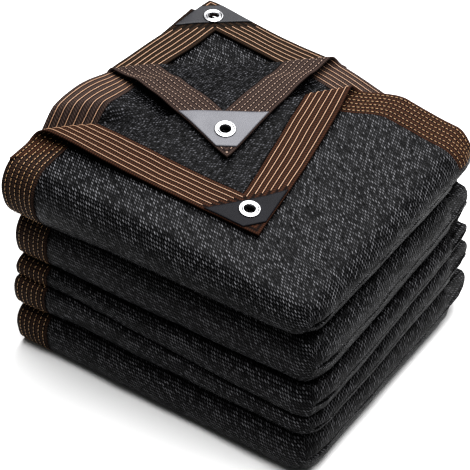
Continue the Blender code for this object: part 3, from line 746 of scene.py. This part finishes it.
@dataclass(frozen=True)
class TapeFinish:
    """Dark woven tape, with the coloured thread showing between its rows of stitches."""

    name: str
    base: Color
    fleck: Color
    weave: float = 0.0024  # from fleck to fleck along the tape
    rib: float = 0.0019  # from rib to rib across it
    roughness: float = 0.75
    shine: float = 0.06

    def make(self) -> bpy.types.Material:
        """Build the material. Flecks lie between the rows, along the tape."""
        finish = Finish(self.name, self.roughness)
        across, along = finish.cloth_place()
        edge, run = across.math("MINIMUM", along), across.math("MAXIMUM", along)
        lane_off = ((edge - FIRST_ROW * MM) / (ROW_STEP * MM) + 0.5).off_centre().math("ABSOLUTE")
        dash = (run / self.weave * math.tau).math("SINE")
        between, dashed = (Wire(finish, finish.add("ShaderNodeMapRange", {
            "Value": value, "From Min": low, "From Max": high}).outputs[0])
            for value, low, high in ((lane_off, 0.12, 0.42), (dash, -0.5, 0.5)))
        finish.set("Base Color", finish.mix(between * (dashed * 0.65 + 0.35), self.base, self.fleck))
        finish.set("Specular IOR Level", self.shine)
        finish.bump(dash + (edge / self.rib * math.tau).math("SINE") * 0.6, 0.6, 0.0003)
        return finish.material


@dataclass(frozen=True)
class SpeckledFinish:
    """A finish of one colour, darker in small cloudy specks, with a fine relief of the same."""

    name: str
    color: Color
    roughness: float = 0.5
    dark_share: float = 0.62
    speck_scale: float = 700.0
    speck_detail: float = 1.0
    relief: float = 0.4
    metallic: float = 0.0

    def make(self) -> bpy.types.Material:
        """Build the material."""
        finish = Finish(self.name, self.roughness)
        specks = finish.texture("Noise", Scale=self.speck_scale, Detail=self.speck_detail).outputs[0]
        shade = tuple(value * self.dark_share for value in self.color)
        finish.set("Base Color", finish.mix(specks, shade, self.color))
        finish.set("Metallic", self.metallic)
        finish.bump(specks, self.relief, 0.0002)
        return finish.material


@dataclass(frozen=True)
class ThreadFinish(SpeckledFinish):
    """Polyester sewing thread. The specks are its twist."""


@dataclass(frozen=True)
class MetalFinish(SpeckledFinish):
    """Pressed aluminium with faint marks."""

    name: str = "eyelet_metal"
    color: Color = (0.36, 0.36, 0.37)
    roughness: float = 0.3
    dark_share: float = 0.86
    speck_scale: float = 380.0
    speck_detail: float = 2.0
    relief: float = 0.2
    metallic: float = 1.0


@dataclass(frozen=True)
class VinylFinish:
    """Coated vinyl with a fine grain."""

    name: str
    color: Color
    worn: Color
    roughness: float = 0.45
    shine: float = 0.25

    def make(self) -> bpy.types.Material:
        """Build the material."""
        finish = Finish(self.name, self.roughness)
        cloud = Wire(finish, finish.texture("Noise", Scale=45.0, Detail=3.0).outputs[0])
        grain = Wire(finish, finish.texture("Voronoi", Scale=900.0).outputs[0])
        finish.set("Base Color", finish.mix(cloud, self.color, self.worn))
        finish.set("Specular IOR Level", self.shine)
        finish.bump(grain + cloud * 2.0, 0.25, 0.0004)
        return finish.material


@dataclass(frozen=True)
class FloorFinish:
    """The pale studio floor."""

    name: str = "studio_floor"
    color: Color = (0.6, 0.6, 0.6)
    roughness: float = 0.9

    def make(self) -> bpy.types.Material:
        """Build the material."""
        finish = Finish(self.name, self.roughness)
        finish.set("Base Color", self.color)
        return finish.material


class RowStyle(Enum):
    """How a row of thread lies: an unbroken line, or stitches with gaps."""

    LINE = "line"
    STITCHES = "stitches"


@dataclass(frozen=True)
class ThreadRows:
    """Rows of sewing thread along the tape, made by a node tree that repeats one stitch."""

    name: str
    style: RowStyle
    radius: float = 0.4
    pitch: float = 4.6
    length: float = 3.4

    def tree(self, material: bpy.types.Material) -> bpy.types.NodeTree:
        """The node tree: a stitch or a round line along every path."""
        group = bpy.data.node_groups.new(self.name, "GeometryNodeTree")
        for label, way in (("Geometry", "INPUT"), ("Radius", "INPUT"), ("Pitch", "INPUT"),
                           ("Length", "INPUT"), ("Geometry", "OUTPUT")):
            kind = "NodeSocketGeometry" if label == "Geometry" else "NodeSocketFloat"
            group.interface.new_socket(label, in_out=way, socket_type=kind)
        tree = Tree(group)
        given = tree.add("NodeGroupInput").outputs
        made = self.line(tree, given) if self.style is RowStyle.LINE else self.stitches(tree, given)
        real = tree.add("GeometryNodeRealizeInstances", {"Geometry": made})
        shade = tree.add("GeometryNodeSetShadeSmooth", {"Geometry": real.outputs["Geometry"]})
        finish = tree.add("GeometryNodeSetMaterial",
                          {"Geometry": shade.outputs["Geometry"], "Material": material})
        tree.add("NodeGroupOutput", {"Geometry": finish.outputs["Geometry"]})
        return group

    @staticmethod
    def line(tree: Tree, given: bpy.types.bpy_prop_collection) -> bpy.types.NodeSocket:
        """A round line along each path."""
        ring = tree.add("GeometryNodeCurvePrimitiveCircle", {"Resolution": 6, "Radius": given["Radius"]})
        sweep = tree.add("GeometryNodeCurveToMesh", {
            "Curve": given["Geometry"], "Profile Curve": ring.outputs["Curve"], "Fill Caps": True})
        return sweep.outputs["Mesh"]

    @staticmethod
    def stitches(tree: Tree, given: bpy.types.bpy_prop_collection) -> bpy.types.NodeSocket:
        """A grain-shaped stitch at every pitch along each path."""
        spots = tree.add("GeometryNodeCurveToPoints", {"Curve": given["Geometry"], "Length": given["Pitch"]},
                         mode="LENGTH")
        grain = tree.add("GeometryNodeMeshUVSphere", {"Segments": 6, "Rings": 5, "Radius": 0.5})
        width = Wire(tree, given["Radius"]) * 2.0
        size = tree.add("ShaderNodeCombineXYZ", {"X": width, "Y": width, "Z": given["Length"]})
        aim = tree.add("FunctionNodeAlignEulerToVector", {"Vector": spots.outputs["Tangent"]}, axis="Z")
        place = tree.add("GeometryNodeInstanceOnPoints", {
            "Points": spots.outputs["Points"], "Instance": grain.outputs["Mesh"],
            "Rotation": aim.outputs["Rotation"], "Scale": size.outputs["Vector"]})
        return place.outputs["Instances"]

    def build(self, paths: Sequence[Sequence[Vector]], material: bpy.types.Material) -> bpy.types.Object:
        """Lay the thread along some paths.

        Args:
            paths: Points in millimetres.
            material: The thread's finish.

        Returns:
            The piece as a plain mesh.
        """
        curve = bpy.data.curves.new(self.name + "_paths", "CURVE")
        curve.dimensions = "3D"
        for path in paths:
            line = curve.splines.new("POLY")
            line.points.add(len(path) - 1)
            for spot, point in zip(line.points, path):
                spot.co = (*(point * MM), 1.0)
        guide = bpy.data.objects.new(self.name + "_paths", curve)
        bpy.context.scene.collection.objects.link(guide)
        tree = self.tree(material)
        change = guide.modifiers.new("thread", "NODES")
        change.node_group = tree
        sizes = {"Radius": self.radius * MM, "Pitch": self.pitch * MM, "Length": self.length * MM}
        for socket in tree.interface.items_tree:
            if socket.in_out == "INPUT" and socket.name in sizes:
                change[socket.identifier] = sizes[socket.name]
        graph = bpy.context.evaluated_depsgraph_get()
        mesh = bpy.data.meshes.new_from_object(guide.evaluated_get(graph))
        bpy.data.objects.remove(guide)
        mesh.name = self.name
        if not mesh.materials:
            mesh.materials.append(material)
        return place_object(self.name, mesh, "edge_tape")


@dataclass
class FoldedStack:
    """The folded knit below the top plies, and the tape along the left ends of its folds."""

    layer_steps: int = 14
    top_steps: int = 60
    front_arc: int = 25
    back_arc: int = 11
    station_step: float = 5.0
    front_reach: float = 40.0  # how far behind a pack's nose its front starts
    proud: float = 0.7  # how far the tape stands over the knit
    ply_steps: int = 4
    groove: float = 2.6  # depth of the grooves between ply edges
    groove_power: float = 0.6
    ply_stray: float = 0.8  # how unevenly the ply edges end
    row_steps: int = 40  # points of a thread row along a layer
    row_ahead: int = 8  # how many of them a row has below the front, and above it
    row_behind: int = 14
    row_lowest: float = 1.5
    row_lift: float = 0.3

    def stations(self, start: float, end: float, marks: Sequence[float] = ()) -> list[float]:
        """Even stations along the folds, with some exact ones, closer at the rounded right side."""
        count = max(2, round((end - start) / self.station_step))
        made = {start + (end - start) * step / count for step in range(count + 1)} | set(marks)
        if end == RIGHT:
            made |= {RIGHT - SHAPE.corner_round * (1 - math.sin(math.radians(turn)))
                     for turn in range(0, 90, 6)}
        return sorted(made)

    def build(self, name: str, stations: Sequence[float], material: bpy.types.Material, slot: str,
              proud: float) -> bpy.types.Object:
        """Sweep the stack's section along some stations.

        Args:
            name: The piece's name.
            stations: Places along the folds.
            material: Its finish.
            slot: The record's material slot, passed on and not used.
            proud: How far its outer side stands out at the front.

        Returns:
            The piece.
        """
        made = MeshMaker(name)
        rings: list[tuple[list[int], list[int]]] = []
        lengths: list[tuple[list[float], ...]] = []
        runs: list[tuple[list[float], ...]] = []
        for x in stations:
            cut = SHAPE.section(x, self.layer_steps, self.top_steps, self.front_arc, self.back_arc)
            inner = [made.point(SHAPE.settle(Vector((x, y, z)))) for y, z in cut.inner]
            outer = []
            for (y, z), number in zip(cut.outer, cut.pack):
                z = SHAPE.lowered(x, y, z)
                y -= proud * self.at_front(SHAPE.packs[number], y)
                outer.append(made.point(SHAPE.settle(Vector((x, y, z)))))
            rings.append((inner, outer))
            lengths.append(tuple(self.distances([made.points[spot] for spot in ring]) for ring in rings[-1]))
            if not runs:
                runs.append(([x - LEFT] * len(inner), [x - LEFT] * len(outer)))
                continue
            runs.append(tuple([run + (made.points[spot] - made.points[old]).length
                               for run, spot, old in zip(runs[-1][side], rings[-1][side], rings[-2][side])]
                              for side in (0, 1)))
        count = len(rings[0][0])
        base = lengths[len(lengths) // 2]

        def quad(corners: Sequence[tuple[int, int, int]]) -> None:
            """Add a face between corners given as station, side and place on the section."""
            made.face([rings[number][side][point] for number, side, point in corners],
                      [(runs[number][side][point], base[side][point]) for number, side, point in corners])

        sealed = [number for number, x in enumerate(stations) if x >= SHAPE.pocket_end]
        for here in range(len(stations) - 1):
            there = here + 1
            shut = bool(sealed) and here >= sealed[0]
            for point in range(count - 1):
                in_slit = any(first <= point < end for first, end, _, _ in cut.slits)
                if not (in_slit and shut):
                    quad(((here, 0, point), (there, 0, point), (there, 0, point + 1), (here, 0, point + 1)))
                quad(((here, 1, point), (here, 1, point + 1), (there, 1, point + 1), (there, 1, point)))
            for point, turn in ((0, 1), (count - 1, -1)):
                quad(((here, 0, point), (here, 1, point), (there, 1, point), (there, 0, point))[::turn])
            for first, end, _, _ in cut.slits if shut else ():
                quad(((here, 0, first), (there, 0, first), (there, 0, end), (here, 0, end)))
        if sealed:
            self.close_slits(made, rings[sealed[0]][0], cut, 1)
            self.close_slits(made, rings[-1][0], cut, -1)
        self.close_end(made, rings[-1], -1)
        if stations[0] == LEFT:
            self.ply_edges(made, rings[0], cut)
        else:
            self.close_end(made, rings[0], 1)
        return made.build(material, slot)

    def at_front(self, pack: Pack, y: float) -> float:
        """How far round a pack's front a place is, from 0 on its layers to 1 at its nose."""
        return smooth(pack.nose + self.front_reach, pack.nose, y)

    @staticmethod
    def distances(points: Sequence[Vector]) -> list[float]:
        """Distance along a line of points."""
        made = [0.0]
        for first, second in zip(points, points[1:]):
            made.append(made[-1] + (second - first).length)
        return made

    @staticmethod
    def close_end(made: MeshMaker, ring: tuple[list[int], list[int]], turn: int) -> None:
        """Close an end across the ribbon."""
        inner, outer = ring
        for point in range(len(inner) - 1):
            made.end_face((inner[point], inner[point + 1], outer[point + 1], outer[point])[::turn])

    @staticmethod
    def close_slits(made: MeshMaker, inner: list[int], cut: Section, turn: int) -> None:
        """Close the slits across, from the lower layer's points to the upper layer's."""
        for first, end, low_count, high_count in cut.slits:
            low, high = first, end
            while high - low > 1:
                share_low = (low + 1 - first) / max(1, low_count - 1)
                share_high = (end - high + 1) / max(1, high_count - 1)
                step_low = low + 1 if share_low <= share_high or low - first >= low_count - 1 else low
                step_high = high - 1 if share_high <= share_low or end - high >= high_count - 1 else high
                corners = tuple(dict.fromkeys((inner[low], inner[step_low], inner[step_high], inner[high])))
                if len(corners) > 2:
                    made.end_face(corners[::turn])
                low, high = step_low, step_high

    def ply_edges(self, made: MeshMaker, ring: tuple[list[int], list[int]], cut: Section) -> None:
        """Close the left end with the edges of its plies, parted by grooves."""
        rows: list[list[int]] = []
        most = max(pack.plies for pack in SHAPE.packs) * self.ply_steps
        for point, (first, second) in enumerate(zip(*ring)):
            start, end = made.points[first], made.points[second]
            plies = SHAPE.packs[cut.pack[point]].plies
            row = [first]
            for step in range(1, most):
                share = step / most
                groove = self.groove * (1 - abs(math.sin(math.pi * plies * share)) ** self.groove_power)
                wander = noise.noise(Vector((share * plies * 1.7, point * 0.05, 3.0))) + 0.5
                inward = groove + self.ply_stray * wander * smooth(0, 0.1, share * (1 - share))
                row.append(made.point(start.lerp(end, share) + Vector((max(0.0, inward), 0.0, 0.0))))
            rows.append(row + [second])
        for above, below in zip(rows, rows[1:]):
            for step in range(most):
                made.end_face((above[step], below[step], below[step + 1], above[step + 1]))

    def side_rows(self) -> list[list[Vector]]:
        """Paths of the thread rows round the left ends of the folds."""
        paths = []
        for row in range(ROWS):
            x = LEFT + FIRST_ROW + ROW_STEP * row
            cut = SHAPE.section(x, self.row_steps, self.top_steps, self.front_arc, self.back_arc)
            for number, (start, end) in enumerate(cut.fronts):
                pack = SHAPE.packs[number]
                path = []
                for point in range(start - self.row_ahead, end + self.row_behind):
                    y, z = cut.outer[point]
                    outward = Vector((0.0, 0.0, -1.0 if point <= start else 1.0))
                    if start < point < end:
                        before, after = cut.outer[point - 1], cut.outer[point + 1]
                        outward = Vector((0.0, before[1] - after[1], after[0] - before[0])).normalized()
                    y -= self.proud * self.at_front(pack, y)
                    at_top = number == len(SHAPE.packs) - 1 and point >= end
                    if at_top and SHAPE.behind_fold(x, y) > -SHAPE.wall_offset - 1:
                        break
                    if z >= self.row_lowest:
                        path.append(SHAPE.settle(Vector((x, y, z))) + outward * self.row_lift)
                paths.append(path)
        return paths


@dataclass
class TopLeaf:
    """One top ply: its knit, its tape, its thread, its patch and its eyelet."""

    number: int
    shape: LeafShape
    knit: bpy.types.Material
    tape: bpy.types.Material
    vinyl: bpy.types.Material
    metal: bpy.types.Material
    knit_wall: float = 1.4
    knit_tuck: float = 4.0  # how far the knit runs in past the wall
    tape_wall: float = 2.0
    tape_run: float = STACK_X + 14.0
    outer_tuck: float = 2.0  # how far the outer leaf's tape runs in past the wall
    outer_right: float = 200.0  # from where its back tape runs on over the stack
    third_tape: float = 175.0  # where the third leaf's tape ends, and its thread
    third_thread: float = 172.0
    patch_wall: float = 1.3
    patch_gap: float = 0.3
    patch_tip: float = 17.0
    patch_leg: float = 66.0
    patch_edge: float = 1.0
    patch_cells: tuple[int, int] = (64, 30)
    patch_rim: tuple[float, float] = (0.03, 0.45)  # share of the patch that thins, and by how much
    hole: float = 7.4
    eyelet_sides: int = 72
    flange: tuple[Spot, ...] = ((5.0, -0.2), (5.6, -0.9), (10.2, -0.9), (10.9, -0.5), (10.8, 0.0), (5.6, 0.0))
    rim: tuple[Spot, ...] = ((5.6, 0.0), (10.3, 0.0), (10.6, 0.35), (10.3, 0.8), (9.5, 1.1), (8.8, 1.1),
                             (8.2, 0.2), (7.2, 0.2), (6.7, 1.1), (6.0, 1.1), (5.3, 0.5), (5.0, -0.3))
    thread_lift: float = 0.2
    thread_step: float = 2.5
    thread_end: float = STACK_X + 10.0  # of the rows along the outer leaf's back edge
    thread_clear: float = 12.0  # of the eyelet's middle
    covered: float = 67.0  # across and along together, up to where the patch covers the thread
    step: float = 2.5
    tape_area: float = 0.0  # flat area in square metres, known once the tape is cut

    def under_wall(self, across: float, along: float, margin: float) -> bool:
        """Whether a flat point is past the wall, inside the stack."""
        return SHAPE.behind_fold(*self.shape.spec.flat_xy(across, along)) < -SHAPE.wall_offset - margin

    def build(self) -> dict[str, bpy.types.Object]:
        """Make the ply's pieces."""
        made: dict[str, bpy.types.Object] = {}
        if self.shape.spec.fold:
            count = range(int(STACK_X / self.step))
            cells = [(column, row) for column in count for row in count
                     if not self.under_wall(TAPE_WIDTH + column * self.step, TAPE_WIDTH + row * self.step,
                                            self.knit_tuck)]
            half = self.knit_wall / 2
            cut = SheetCut(f"leaf_knit_{self.number}", self.shape, -half, half, self.step)
            made["knit"] = cut.build(cells, (TAPE_WIDTH, TAPE_WIDTH), self.knit, "shade_knit")
            sizes = [(max(cell[axis] for cell in cells) + 1) * self.step * MM for axis in (0, 1)]
            area = len(cells) * (self.step * MM) ** 2
        made["tape"] = self.build_tape()
        made["patch"] = self.build_patch()
        made["eyelet"] = self.build_eyelet()
        return made

    def declare(self, pieces: dict[str, bpy.types.Object]) -> None:
        """Args:
            pieces: The ply's pieces; not used.
        """
        width = TAPE_WIDTH * MM
        flat = (width, self.tape_area / width)

    def build_tape(self) -> bpy.types.Object:
        """The tape along both edges, with the eyelet's hole."""
        spec = self.shape.spec
        wide = int(TAPE_WIDTH / self.step)
        step = TAPE_WIDTH / wide
        tuck = self.outer_tuck if spec is OUTER else 0.0
        cells: dict[Cell, bool] = {}
        for long in range(int(self.tape_run / step)):
            for short in range(wide):
                for column, row in {(short, long), (long, short)}:
                    across, along = (column + 0.5) * step, (row + 0.5) * step
                    if math.hypot(across - self.shape.inset, along - self.shape.inset) < self.hole:
                        continue
                    if spec is THIRD and max(across, along) > self.third_tape:
                        continue
                    to_right = spec is OUTER and row < wide and across > self.outer_right
                    if to_right or not self.under_wall(across, along, tuck):
                        cells[(column, row)] = True
        self.tape_area = len(cells) * (step * MM) ** 2
        half = self.tape_wall / 2
        cut = SheetCut(f"leaf_tape_{self.number}", self.shape, -half, half, step)
        return cut.build(cells, (0.0, 0.0), self.tape, "edge_tape")

    def build_patch(self) -> bpy.types.Object:
        """The vinyl patch, on the face that shows, with the eyelet's hole."""
        tip, leg, edge = self.patch_tip, self.patch_leg, self.patch_edge
        columns, rows = self.patch_cells
        place = self.shape.placer()
        sign = self.shape.spec.shown.value
        near = sign * (self.tape_wall / 2 + self.patch_gap)
        far = near + sign * self.patch_wall
        inner = Vector((edge, tip)), Vector((tip, edge))
        outer = Vector((edge, leg)), Vector((leg, edge))
        eye = Vector((self.shape.inset, self.shape.inset))

        def flat(column: int, row: int) -> Vector:
            """Where a grid corner lies on the leaf."""
            share = column / columns
            return inner[0].lerp(inner[1], share).lerp(outer[0].lerp(outer[1], share), row / rows)

        def corner(column: int, row: int) -> tuple[Spot, Vector, Vector]:
            """Flat place, lower point and upper point of a grid corner. The patch thins at its rim."""
            spot = flat(column, row)
            to_rim = min(column / columns, 1 - column / columns, row / rows, 1 - row / rows)
            soft = self.patch_wall * self.patch_rim[1] * (1 - smooth(0, self.patch_rim[0], to_rim))
            return tuple(spot), place(*spot, near), place(*spot, far - sign * soft)

        cells = []
        for column in range(columns):
            for row in range(rows):
                middle = (flat(column, row) + flat(column, row + 1) + flat(column + 1, row + 1)
                          + flat(column + 1, row)) / 4
                if (middle - eye).length >= self.hole:
                    cells.append((column, row))
        made = MeshMaker(f"leaf_patch_{self.number}")
        made.shell(cells, corner, flip=sign > 0)
        return made.build(self.vinyl, "corner_vinyl")

    def build_eyelet(self) -> bpy.types.Object:
        """The eyelet: a turned profile with a grooved rim and a rolled barrel."""
        centre, _, _, axis = self.shape.seat()
        face = self.tape_wall / 2 + self.patch_gap + self.patch_wall + 0.15
        back = -self.tape_wall / 2 - 0.3
        profile = [(radius, level + height) for table, level in ((self.flange, back), (self.rim, face))
                   for radius, height in table]
        turn = (axis * self.shape.spec.shown.value).to_track_quat("Z", "X")
        made = MeshMaker(f"eyelet_ring_{self.number}")
        square = ((0, 0), (1, 0), (1, 1), (0, 1))
        rings = []
        for step in range(self.eyelet_sides):
            angle = math.tau * step / self.eyelet_sides
            spoke = Vector((math.cos(angle), math.sin(angle), 0.0))
            rings.append([made.point(centre + turn @ (spoke * radius + Vector((0.0, 0.0, height))))
                          for radius, height in profile])
        for here, there in zip(rings, rings[1:] + rings[:1]):
            for point in range(len(profile)):
                after = (point + 1) % len(profile)
                made.face((here[point], there[point], there[after], here[after]), square)
        return made.build(self.metal, "eyelet_metal")

    def row_ended(self, across: float, along: float, by_side: bool) -> bool:
        """Whether a thread row has reached its end.

        Args:
            across: The point's distance across.
            along: Its distance along.
            by_side: Whether the row runs along the side edge, not the back one.

        Returns:
            True from the end on.
        """
        spec = self.shape.spec
        if spec is THIRD:
            return (along if by_side else across) > self.third_thread
        if spec is OUTER and not by_side:
            return across > self.thread_end
        return self.under_wall(across, along, 1.0)

    def rows(self, face: Upper) -> list[list[Vector]]:
        """Paths of the thread rows on one face.

        Args:
            face: The side of the ply they lie on.

        Returns:
            The paths, in millimetres.
        """
        place = self.shape.placer()
        spec = self.shape.spec
        height = face.value * (self.tape_wall / 2 + self.thread_lift)
        paths = []
        for row, by_side in ((row, by_side) for row in range(ROWS) for by_side in (True, False)):
            edge = FIRST_ROW + ROW_STEP * row
            path: list[Vector] = []
            for step in range(int(self.tape_run / self.thread_step)):
                run = edge + step * self.thread_step
                across, along = (edge, run) if by_side else (run, edge)
                tip_shows = spec is not OUTER and across + along <= self.patch_tip + 1
                hidden = spec.shown is face and across + along < self.covered and not tip_shows
                off_eye = math.hypot(across - self.shape.inset, along - self.shape.inset)
                ended = self.row_ended(across, along, by_side)
                if not (hidden or ended or off_eye < self.thread_clear):
                    path.append(place(across, along, height))
                    continue
                if len(path) > 1:
                    paths.append(path)
                path = []
                if ended:
                    break
            if len(path) > 1:
                paths.append(path)
        return paths


@dataclass(frozen=True)
class Lamp:
    """A soft square light: where it stands round the object, its distance, size and power."""

    name: str
    azimuth: float
    elevation: float
    distance: float
    size: float
    power: float


@dataclass
class Studio:
    """Camera, lights and floor."""

    azimuth: float = 33.6
    elevation: float = 41.6
    distance: float = 1.9
    target: tuple[float, float, float] = (-0.01843, -0.001, 0.1)
    focal_pixels: float = 1900.0
    frame_pixels: float = 470.0
    sensor: float = 36.0
    lamps: tuple[Lamp, ...] = (Lamp("overhead", 150.0, 80.0, 2.4, 2.6, 218.0),
                               Lamp("rear", 190.0, 42.0, 2.2, 1.6, 26.0))
    room_light: float = 0.12
    floor_half: float = 6.0
    floor_level: float = -0.0005

    def place(self, item: bpy.types.Object, azimuth: float, elevation: float, distance: float) -> None:
        """Link a camera or a light and turn it to the object.

        Args:
            item: The camera or the light.
            azimuth: Its direction seen from above, in degrees from the front to the right.
            elevation: Its height over the floor, in degrees.
            distance: Its distance from the object in metres.
        """
        turn, rise = math.radians(azimuth), math.radians(elevation)
        back = Vector((math.sin(turn) * math.cos(rise), -math.cos(turn) * math.cos(rise), math.sin(rise)))
        item.location = Vector(self.target) + back * distance
        item.rotation_euler = (-back).to_track_quat("-Z", "Y").to_euler()
        bpy.context.scene.collection.objects.link(item)

    def build(self) -> None:
        """Set the scene up."""
        scene = bpy.context.scene
        data = bpy.data.cameras.new("camera")
        data.sensor_width = self.sensor
        data.lens = self.focal_pixels / self.frame_pixels * self.sensor
        data.clip_start, data.clip_end = 0.05, 20.0
        scene.camera = bpy.data.objects.new("camera", data)
        self.place(scene.camera, self.azimuth, self.elevation, self.distance)
        for lamp in self.lamps:
            light = bpy.data.lights.new(lamp.name, "AREA")
            light.size, light.energy = lamp.size, lamp.power
            self.place(bpy.data.objects.new(lamp.name, light), lamp.azimuth, lamp.elevation, lamp.distance)
        scene.world = bpy.data.worlds.new("studio")
        scene.world.use_nodes = True
        sky = scene.world.node_tree.nodes["Background"].inputs
        sky["Color"].default_value = (1.0, 1.0, 1.0, 1.0)
        sky["Strength"].default_value = self.room_light
        scene.view_settings.view_transform = "Standard"
        scene.view_settings.look = "Medium High Contrast"
        mesh = bpy.data.meshes.new("floor")
        half, level = self.floor_half, self.floor_level
        corners = [(-half, -half, level), (half, -half, level), (half, half, level), (-half, half, level)]
        mesh.from_pydata(corners, [], [(0, 1, 2, 3)])
        mesh.materials.append(FloorFinish().make())
        floor = bpy.data.objects.new("floor", mesh)
        scene.collection.objects.link(floor)


def main() -> None:
    """Build every piece in order."""
    logging.basicConfig(level=logging.INFO)
    noise.seed_set(RUFFLE_SEED)
    knit = KnitFinish().make()
    # The leaves' knit: a finer, more scattered grain, with darker loops and weaker glints as painted shade
    # round the turned corners.
    leaf_knit_painted_shade = KnitFinish("leaf_knit_painted_shade", loop=(0.009, 0.009, 0.01), glint=(0.105, 0.105, 0.115), wale=0.0026,
                           course=0.0027, slant=0.6, wander=3.0).make()
    side_tape = TapeFinish("tape_side", (0.004, 0.003, 0.003), (0.026, 0.013, 0.008)).make()
    # One tape in three copies with painted light and shade: lightest on the second corner, which faces up to
    # the light, darkest on the third.
    tapes_lit_and_shaded = (TapeFinish("tape_outer", (0.004, 0.002, 0.0015), (0.036, 0.014, 0.007)),
             TapeFinish("tape_second", (0.008, 0.005, 0.005), (0.040, 0.026, 0.021)),
             TapeFinish("tape_third", (0.003, 0.002, 0.0015), (0.020, 0.011, 0.006)))
    # One black vinyl in three copies with painted light and shade: lightest on the second patch, which faces
    # up to the light, darkest on the outer one.
    vinyls_lit_and_shaded = (VinylFinish("vinyl_outer", (0.004, 0.004, 0.005), (0.007, 0.007, 0.009), shine=0.05),
              VinylFinish("vinyl_second", (0.055, 0.055, 0.062), (0.085, 0.085, 0.095)),
              VinylFinish("vinyl_third", (0.014, 0.014, 0.016), (0.024, 0.024, 0.027), shine=0.15))
    metal = MetalFinish().make()
    gold = ThreadFinish("thread_gold", (0.37, 0.22, 0.105)).make()
    peach = ThreadFinish("thread_peach", (0.37, 0.22, 0.135)).make()
    pale = ThreadFinish("thread_pale", (0.31, 0.215, 0.16)).make()

    stack = FoldedStack()
    body = stack.build("folded_knit", stack.stations(SIDE_TAPE + SEAM_GAP, RIGHT, (SHAPE.pocket_end,)), knit,
                       "shade_knit", 0.0)
    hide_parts("cloth")
    side = stack.build("folded_tape", stack.stations(LEFT, SIDE_TAPE), side_tape, "edge_tape", stack.proud)
    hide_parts("side_tape")
    ThreadRows("side_stitches", RowStyle.STITCHES).build(stack.side_rows(), gold)

    threads = ((peach, gold), (pale, peach), (pale, peach))  # on each corner's underside and upper side
    legs = (61.0, 73.0, 57.0)  # the three patches' lengths along their edges
    for number, spec in enumerate(LEAVES, 1):
        tape, vinyl = tapes_lit_and_shaded[number - 1].make(), vinyls_lit_and_shaded[number - 1].make()
        leaf = TopLeaf(number, LeafShape(spec), leaf_knit_painted_shade, tape, vinyl, metal, patch_leg=legs[number - 1])
        pieces = leaf.build()
        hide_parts(f"tape_{number}")
        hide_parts(f"patch_{number}")
        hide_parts(f"eyelet_{number}")
        under, upper = threads[number - 1]
        if spec.fold:
            style = RowStyle.LINE if spec is OUTER else RowStyle.STITCHES
            lower_rows = ThreadRows(f"under_stitches_{number}", style)
            lower_rows.build(leaf.rows(Upper.UNDERSIDE), under)
        style = RowStyle.STITCHES if spec is OUTER else RowStyle.LINE
        upper_rows = ThreadRows(f"upper_stitches_{number}", style)
        upper_rows.build(leaf.rows(Upper.FACE), upper)
        leaf.declare(pieces)
    Studio().build()


if __name__ == "__main__":
    main()
